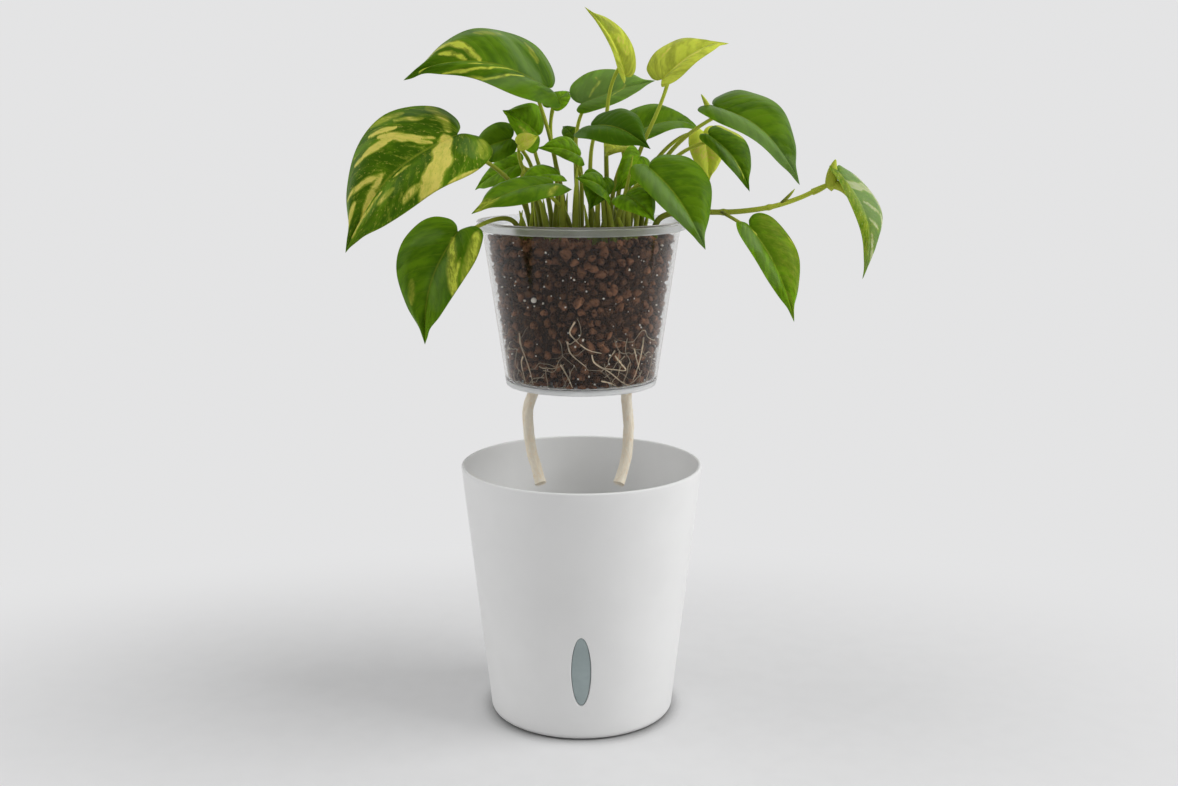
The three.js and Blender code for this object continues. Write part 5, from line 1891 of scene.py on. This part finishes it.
def add_blade(form, blade, plant, rng, seed):
    """Adds a leaf's blade: two quilted skins that meet at the margin, with a grooved midrib and a wavy
    edge."""
    leaf = blade.leaf
    rows, columns = WIDE_GRID if leaf.width > WIDE_BLADE else SMALL_GRID
    v = np.linspace(0, 1, rows)[:, None]
    side = np.linspace(-1, 1, columns)[None]
    margin = spline(BLADE_MARGIN, v[:, 0])
    midrib = spline(BLADE_MIDRIB, v[:, 0])[:, :1]
    reach = np.abs(side)
    share = midrib + (margin[:, :1] - midrib) * reach
    offset = side * margin[:, 1:] * leaf.width * MM
    run = share - VEIN_SWEEP * reach**VEIN_CURVE
    calm = smooth_step(reach, 0.02, 0.2) * (1 - reach**3)
    calm = calm * smooth_step(v, 0.2, 0.4) * smooth_step(1 - v, 0.02, 0.3)
    quilt = plant.quilting * np.abs(np.sin(math.pi * plant.vein_count * run)) ** QUILT_CURVE * calm
    groove = plant.groove * np.exp(-((offset / GROOVE_HALF) ** 2)) * smooth_step(1 - v, 0.0, 0.3)
    phase = rng.random(4) * TURN
    turns = TURN * np.where(side > 0, RIGHT_WAVES, LEFT_WAVES) * v
    wave = np.sin(turns + np.where(side > 0, phase[0], phase[1]))
    wave = wave + 0.5 * np.sin(2.2 * turns + np.where(side > 0, phase[2], phase[3]))
    twist = TWIST * rng.normal() * offset * (share - 0.3)
    wave = (WAVE_HEIGHT * leaf.width * MM * wave * reach**2 + twist) * np.sin(math.pi * v)
    droop = ARCH * np.sin(math.pi * reach) - EDGE_DROOP * smooth_step(reach, 0.55, 1.0)
    droop = leaf.width * MM * droop * np.sin(math.pi * v)
    fullness = np.minimum(1, 9 * v * (1 - v)) * (1 - reach**4)
    half = plant.blade_thickness * fullness / 2
    rib = RIB_HEIGHT * plant.groove * np.exp(-((offset / RIB_HALF) ** 2)) * smooth_step(1 - v, 0.0, 0.6)
    level = wave + droop
    upper = blade.points(share, offset, level + (quilt - groove) * fullness + half)
    lower = blade.points(share, offset, level + (quilt - groove * 0.6 - rib) * fullness - half)
    sway = rng.random(2) * TURN
    across = offset / (leaf.width * MM / 2)
    wander = 0.008 * np.sin(9 * across + 21 * share + sway[0])
    wander = wander + 0.005 * np.sin(23 * across - 34 * share + sway[1])
    slimness = leaf.width * MM / 2 / blade.length
    cream = stroke_cover(leaf.cream, share + wander, across, slimness).ravel()
    # Strokes of painted sheen, a grey-green reflection painted into the colour.
    bloom = stroke_cover(leaf.bloom, share + wander, across, slimness).ravel()
    place = np.stack([share, np.broadcast_to(side, share.shape), np.full(share.shape, seed)], -1)
    values = {"place": place.reshape(-1, 3), "cream": cream, "bloom": bloom, "lift": leaf.lift}
    faces = grid_faces(rows, columns)
    for skin, under in ((upper, 0.0), (lower, 1.0)):
        form.add(skin.reshape(-1, 3), faces, under=under, **values)


# Values of a blade that stalks and sheaths do without.
BARE = {"cream": 0.0, "bloom": 0.0, "under": 0.0, "lift": 0.0}


def add_stalk(form, blade, plant, seed):
    """Adds a leaf's stalk, from just under the granules or from the runner to the back of the blade."""
    leaf = blade.leaf
    root = on_medium(leaf.root)
    end = blade.points(np.array(STALK_OVERLAP), np.array(0.0), np.array(-STALK_DEPTH))
    reach = np.linalg.norm(end - root)
    start_handle = root + np.array(leaf.rise) * reach * STALK_STIFFNESS
    end_handle = end - blade.along * reach * leaf.trail - blade.face * reach * leaf.drop
    path = bezier(root, start_handle, end_handle, end, count=40)
    thick = plant.stalk_end_radius
    if leaf.root[2] < RUNNER_LEVEL:
        sunk = np.array([[0, 0, STALK_SINK * MM], [0, 0, STALK_SINK * MM / 2]])
        path = np.vstack([path[0] - sunk, path])
        thick = plant.stalk_root_radius
    share = np.linspace(0, 1, len(path))
    radii = plant.stalk_end_radius + (thick - plant.stalk_end_radius) * (1 - share) ** 1.5
    radii = radii * (1 + 0.22 * smooth_step(share, 0.86, 0.97) - 0.5 * smooth_step(share, 0.97, 1.0))
    form.tube(path, radii, sides=12, finish=1, seed=seed, **BARE)


def add_sheath(form, leaf, plant, rng, seed):
    """Adds the pointed sheath that clasps a stalk at its foot."""
    lean = rng.normal(size=2) * 3.2
    tall = 12 + 14 * rng.random()
    x, y = leaf.root[0] + 0.6 * rng.normal(), leaf.root[1] + 0.6 * rng.normal()
    radius = plant.stalk_root_radius * (0.8 + 0.25 * rng.random())
    start, end = (x, y, -STALK_SINK), (x + lean[0], y + lean[1], tall)
    bend = (lean[1] * 0.2, lean[0] * 0.2, 0)
    add_spike(form, start, end, bend, radius, seed, finish=1, **BARE)


def add_spike(form, start, end, bend, radius, seed, **values):
    """Adds a pointed sheath or stipule."""
    start, end = on_medium(start), on_medium(end)
    bend = np.array(bend) * MM
    start_handle = start + (end - start) * 0.35 + bend
    end_handle = start + (end - start) * 0.7 + bend
    path = bezier(start, start_handle, end_handle, end, SPIKE_POINTS)
    radii = radius * (1 - SPIKE_TAPER * np.linspace(0, 1, SPIKE_POINTS) ** 2.2)
    form.tube(path, radii, sides=10, bulge=0.8, seed=seed, **values)


def leaf_finish(plant, tone):
    """The blade material of a tone: its deep and its fresh green, its veins, its patches and how flecked
    it is."""
    dark, mid, lime = plant.dark, plant.mid, plant.lime
    tones = {
        "dark": (dark, scaled(mid, 0.85), scaled(lime, 0.6), lime, 0.0),
        "mid": (scaled(mid, 0.85), scaled(mid, 1.6), scaled(lime, 0.7), lime, 0.0),
        "lime": (scaled(lime, 0.66), scaled(lime, 1.12), scaled(lime, 1.2), plant.cream, 0.0),
        "cream": (dark, scaled(mid, 0.9), scaled(lime, 0.75), plant.cream, 0.55),
        "ivory": (dark, scaled(mid, 0.9), scaled(lime, 0.8), plant.ivory, 0.5),
    }
    return finish(f"leaf {tone}", leaf_blade, *tones[tone], plant.wax, float(plant.vein_count))


def stem_finish(plant):
    """The material of the stalks and the runner."""
    return finish("stem green", stem_green, plant.stem, plant.stem_root)


VARIEGATED = ("cream", "ivory")


class LEAVES_OT_build(bpy.types.Operator):
    """Makes every leaf with its stalk."""

    bl_idname = "watering_pot.leaves"
    bl_label = "Leaves"

    def execute(self, context):
        plant = context.scene.watering_pot.plant
        rng, small_rng = np.random.default_rng(5), np.random.default_rng(6)
        for leaf in LEAVES:
            seed = rng.random() * SEED_RANGE
            blade = Blade(leaf)
            form = Form()
            add_blade(form, blade, plant, rng, seed)
            add_stalk(form, blade, plant, seed)
            if leaf.root[2] < RUNNER_LEVEL:
                add_sheath(form, leaf, plant, rng, seed)
            for start, end, bend, radius in leaf.spikes:
                stretch = (0.1, 0.8) if start[2] < 0 else (0.8, 1.0)
                add_spike(form, start, end, bend, radius * MM, seed, finish=1, stretch=stretch, **BARE)
            for small in leaf.young:
                small_blade = Blade(small)
                add_blade(form, small_blade, plant, small_rng, seed + YOUNG_SEED)
                add_stalk(form, small_blade, plant, seed + YOUNG_SEED)
            materials = [leaf_finish(plant, leaf.tone), stem_finish(plant)]
            piece = form.piece(f"{leaf.name}_grown", materials, merge=MERGE_GAP, sharp=70)
            slot = "leaf_variegated" if leaf.tone in VARIEGATED else f"leaf_{leaf.tone}"
            settle(piece, "rootball", slot, leaf.name)
        return {"FINISHED"}


class VINE_OT_build(bpy.types.Operator):
    """Makes the runner with its nodes and a stipule."""

    bl_idname = "watering_pot.vine"
    bl_label = "Runner"

    def execute(self, context):
        plant = context.scene.watering_pot.plant
        sunk = (*VINE_ROUTE[0][:2], -STALK_SINK)
        path = even_path([on_medium(point) for point in (sunk, *VINE_ROUTE)], MM)
        share = np.linspace(0, 1, len(path))
        swell = sum(0.3 * np.exp(-(((share - node) / 0.012) ** 2)) for node in VINE_NODES)
        radii = plant.vine_radius * (1.05 - 0.28 * share) * (1 + swell)
        form = Form()
        form.tube(path, radii, sides=16, seed=3.1)
        add_spike(form, *VINE_STIPULE, radius=1.1 * MM, seed=2.2)
        piece = form.piece("runner_vine_stem", [stem_finish(plant)])
        settle(piece, "rootball", "stem_green", "runner_vine")
        return {"FINISHED"}


# Add-on


class PANEL_PT_watering_pot(bpy.types.Panel):
    """Lists the settings and the steps that build the pot."""

    bl_idname = "PANEL_PT_watering_pot"
    bl_label = "Self-watering Pot"
    bl_space_type = "VIEW_3D"
    bl_region_type = "UI"
    bl_category = "Watering Pot"

    def draw(self, context):
        settings = context.scene.watering_pot
        for operator in OPERATORS:
            self.layout.operator(operator.bl_idname)
        for name in settings.bl_rna.properties.keys():
            if name not in ("rna_type", "name"):
                box = self.layout.box()
                box.label(text=name.capitalize())
                for field in getattr(settings, name).bl_rna.properties.keys():
                    if field not in ("rna_type", "name"):
                        box.prop(getattr(settings, name), field)


SETTINGS = (ReservoirSettings, InsertSettings, WickSettings, MediumSettings, PlantSettings, StageSettings,
            WateringPotSettings)
OPERATORS = (STAGE_OT_build, WICKS_OT_build, POT_OT_build, WINDOW_OT_build, INSERT_OT_build, MEDIUM_OT_build,
             VINE_OT_build, LEAVES_OT_build)


def register():
    """Registers the classes and the scene's settings."""
    for made in (*SETTINGS, *OPERATORS, PANEL_PT_watering_pot):
        bpy.utils.register_class(made)
    bpy.types.Scene.watering_pot = PointerProperty(type=WateringPotSettings)


def unregister():
    """Takes the settings and the classes away again."""
    del bpy.types.Scene.watering_pot
    for made in reversed((*SETTINGS, *OPERATORS, PANEL_PT_watering_pot)):
        bpy.utils.unregister_class(made)


def main():
    """Builds the pot piece by piece."""
    register()
    bpy.ops.watering_pot.stage()
    bpy.ops.watering_pot.wicks()
    bpy.ops.watering_pot.outer_pot()
    bpy.ops.watering_pot.window()
    bpy.ops.watering_pot.insert()
    bpy.ops.watering_pot.medium()
    bpy.ops.watering_pot.vine()
    bpy.ops.watering_pot.leaves()


if __name__ == "__main__":
    main()
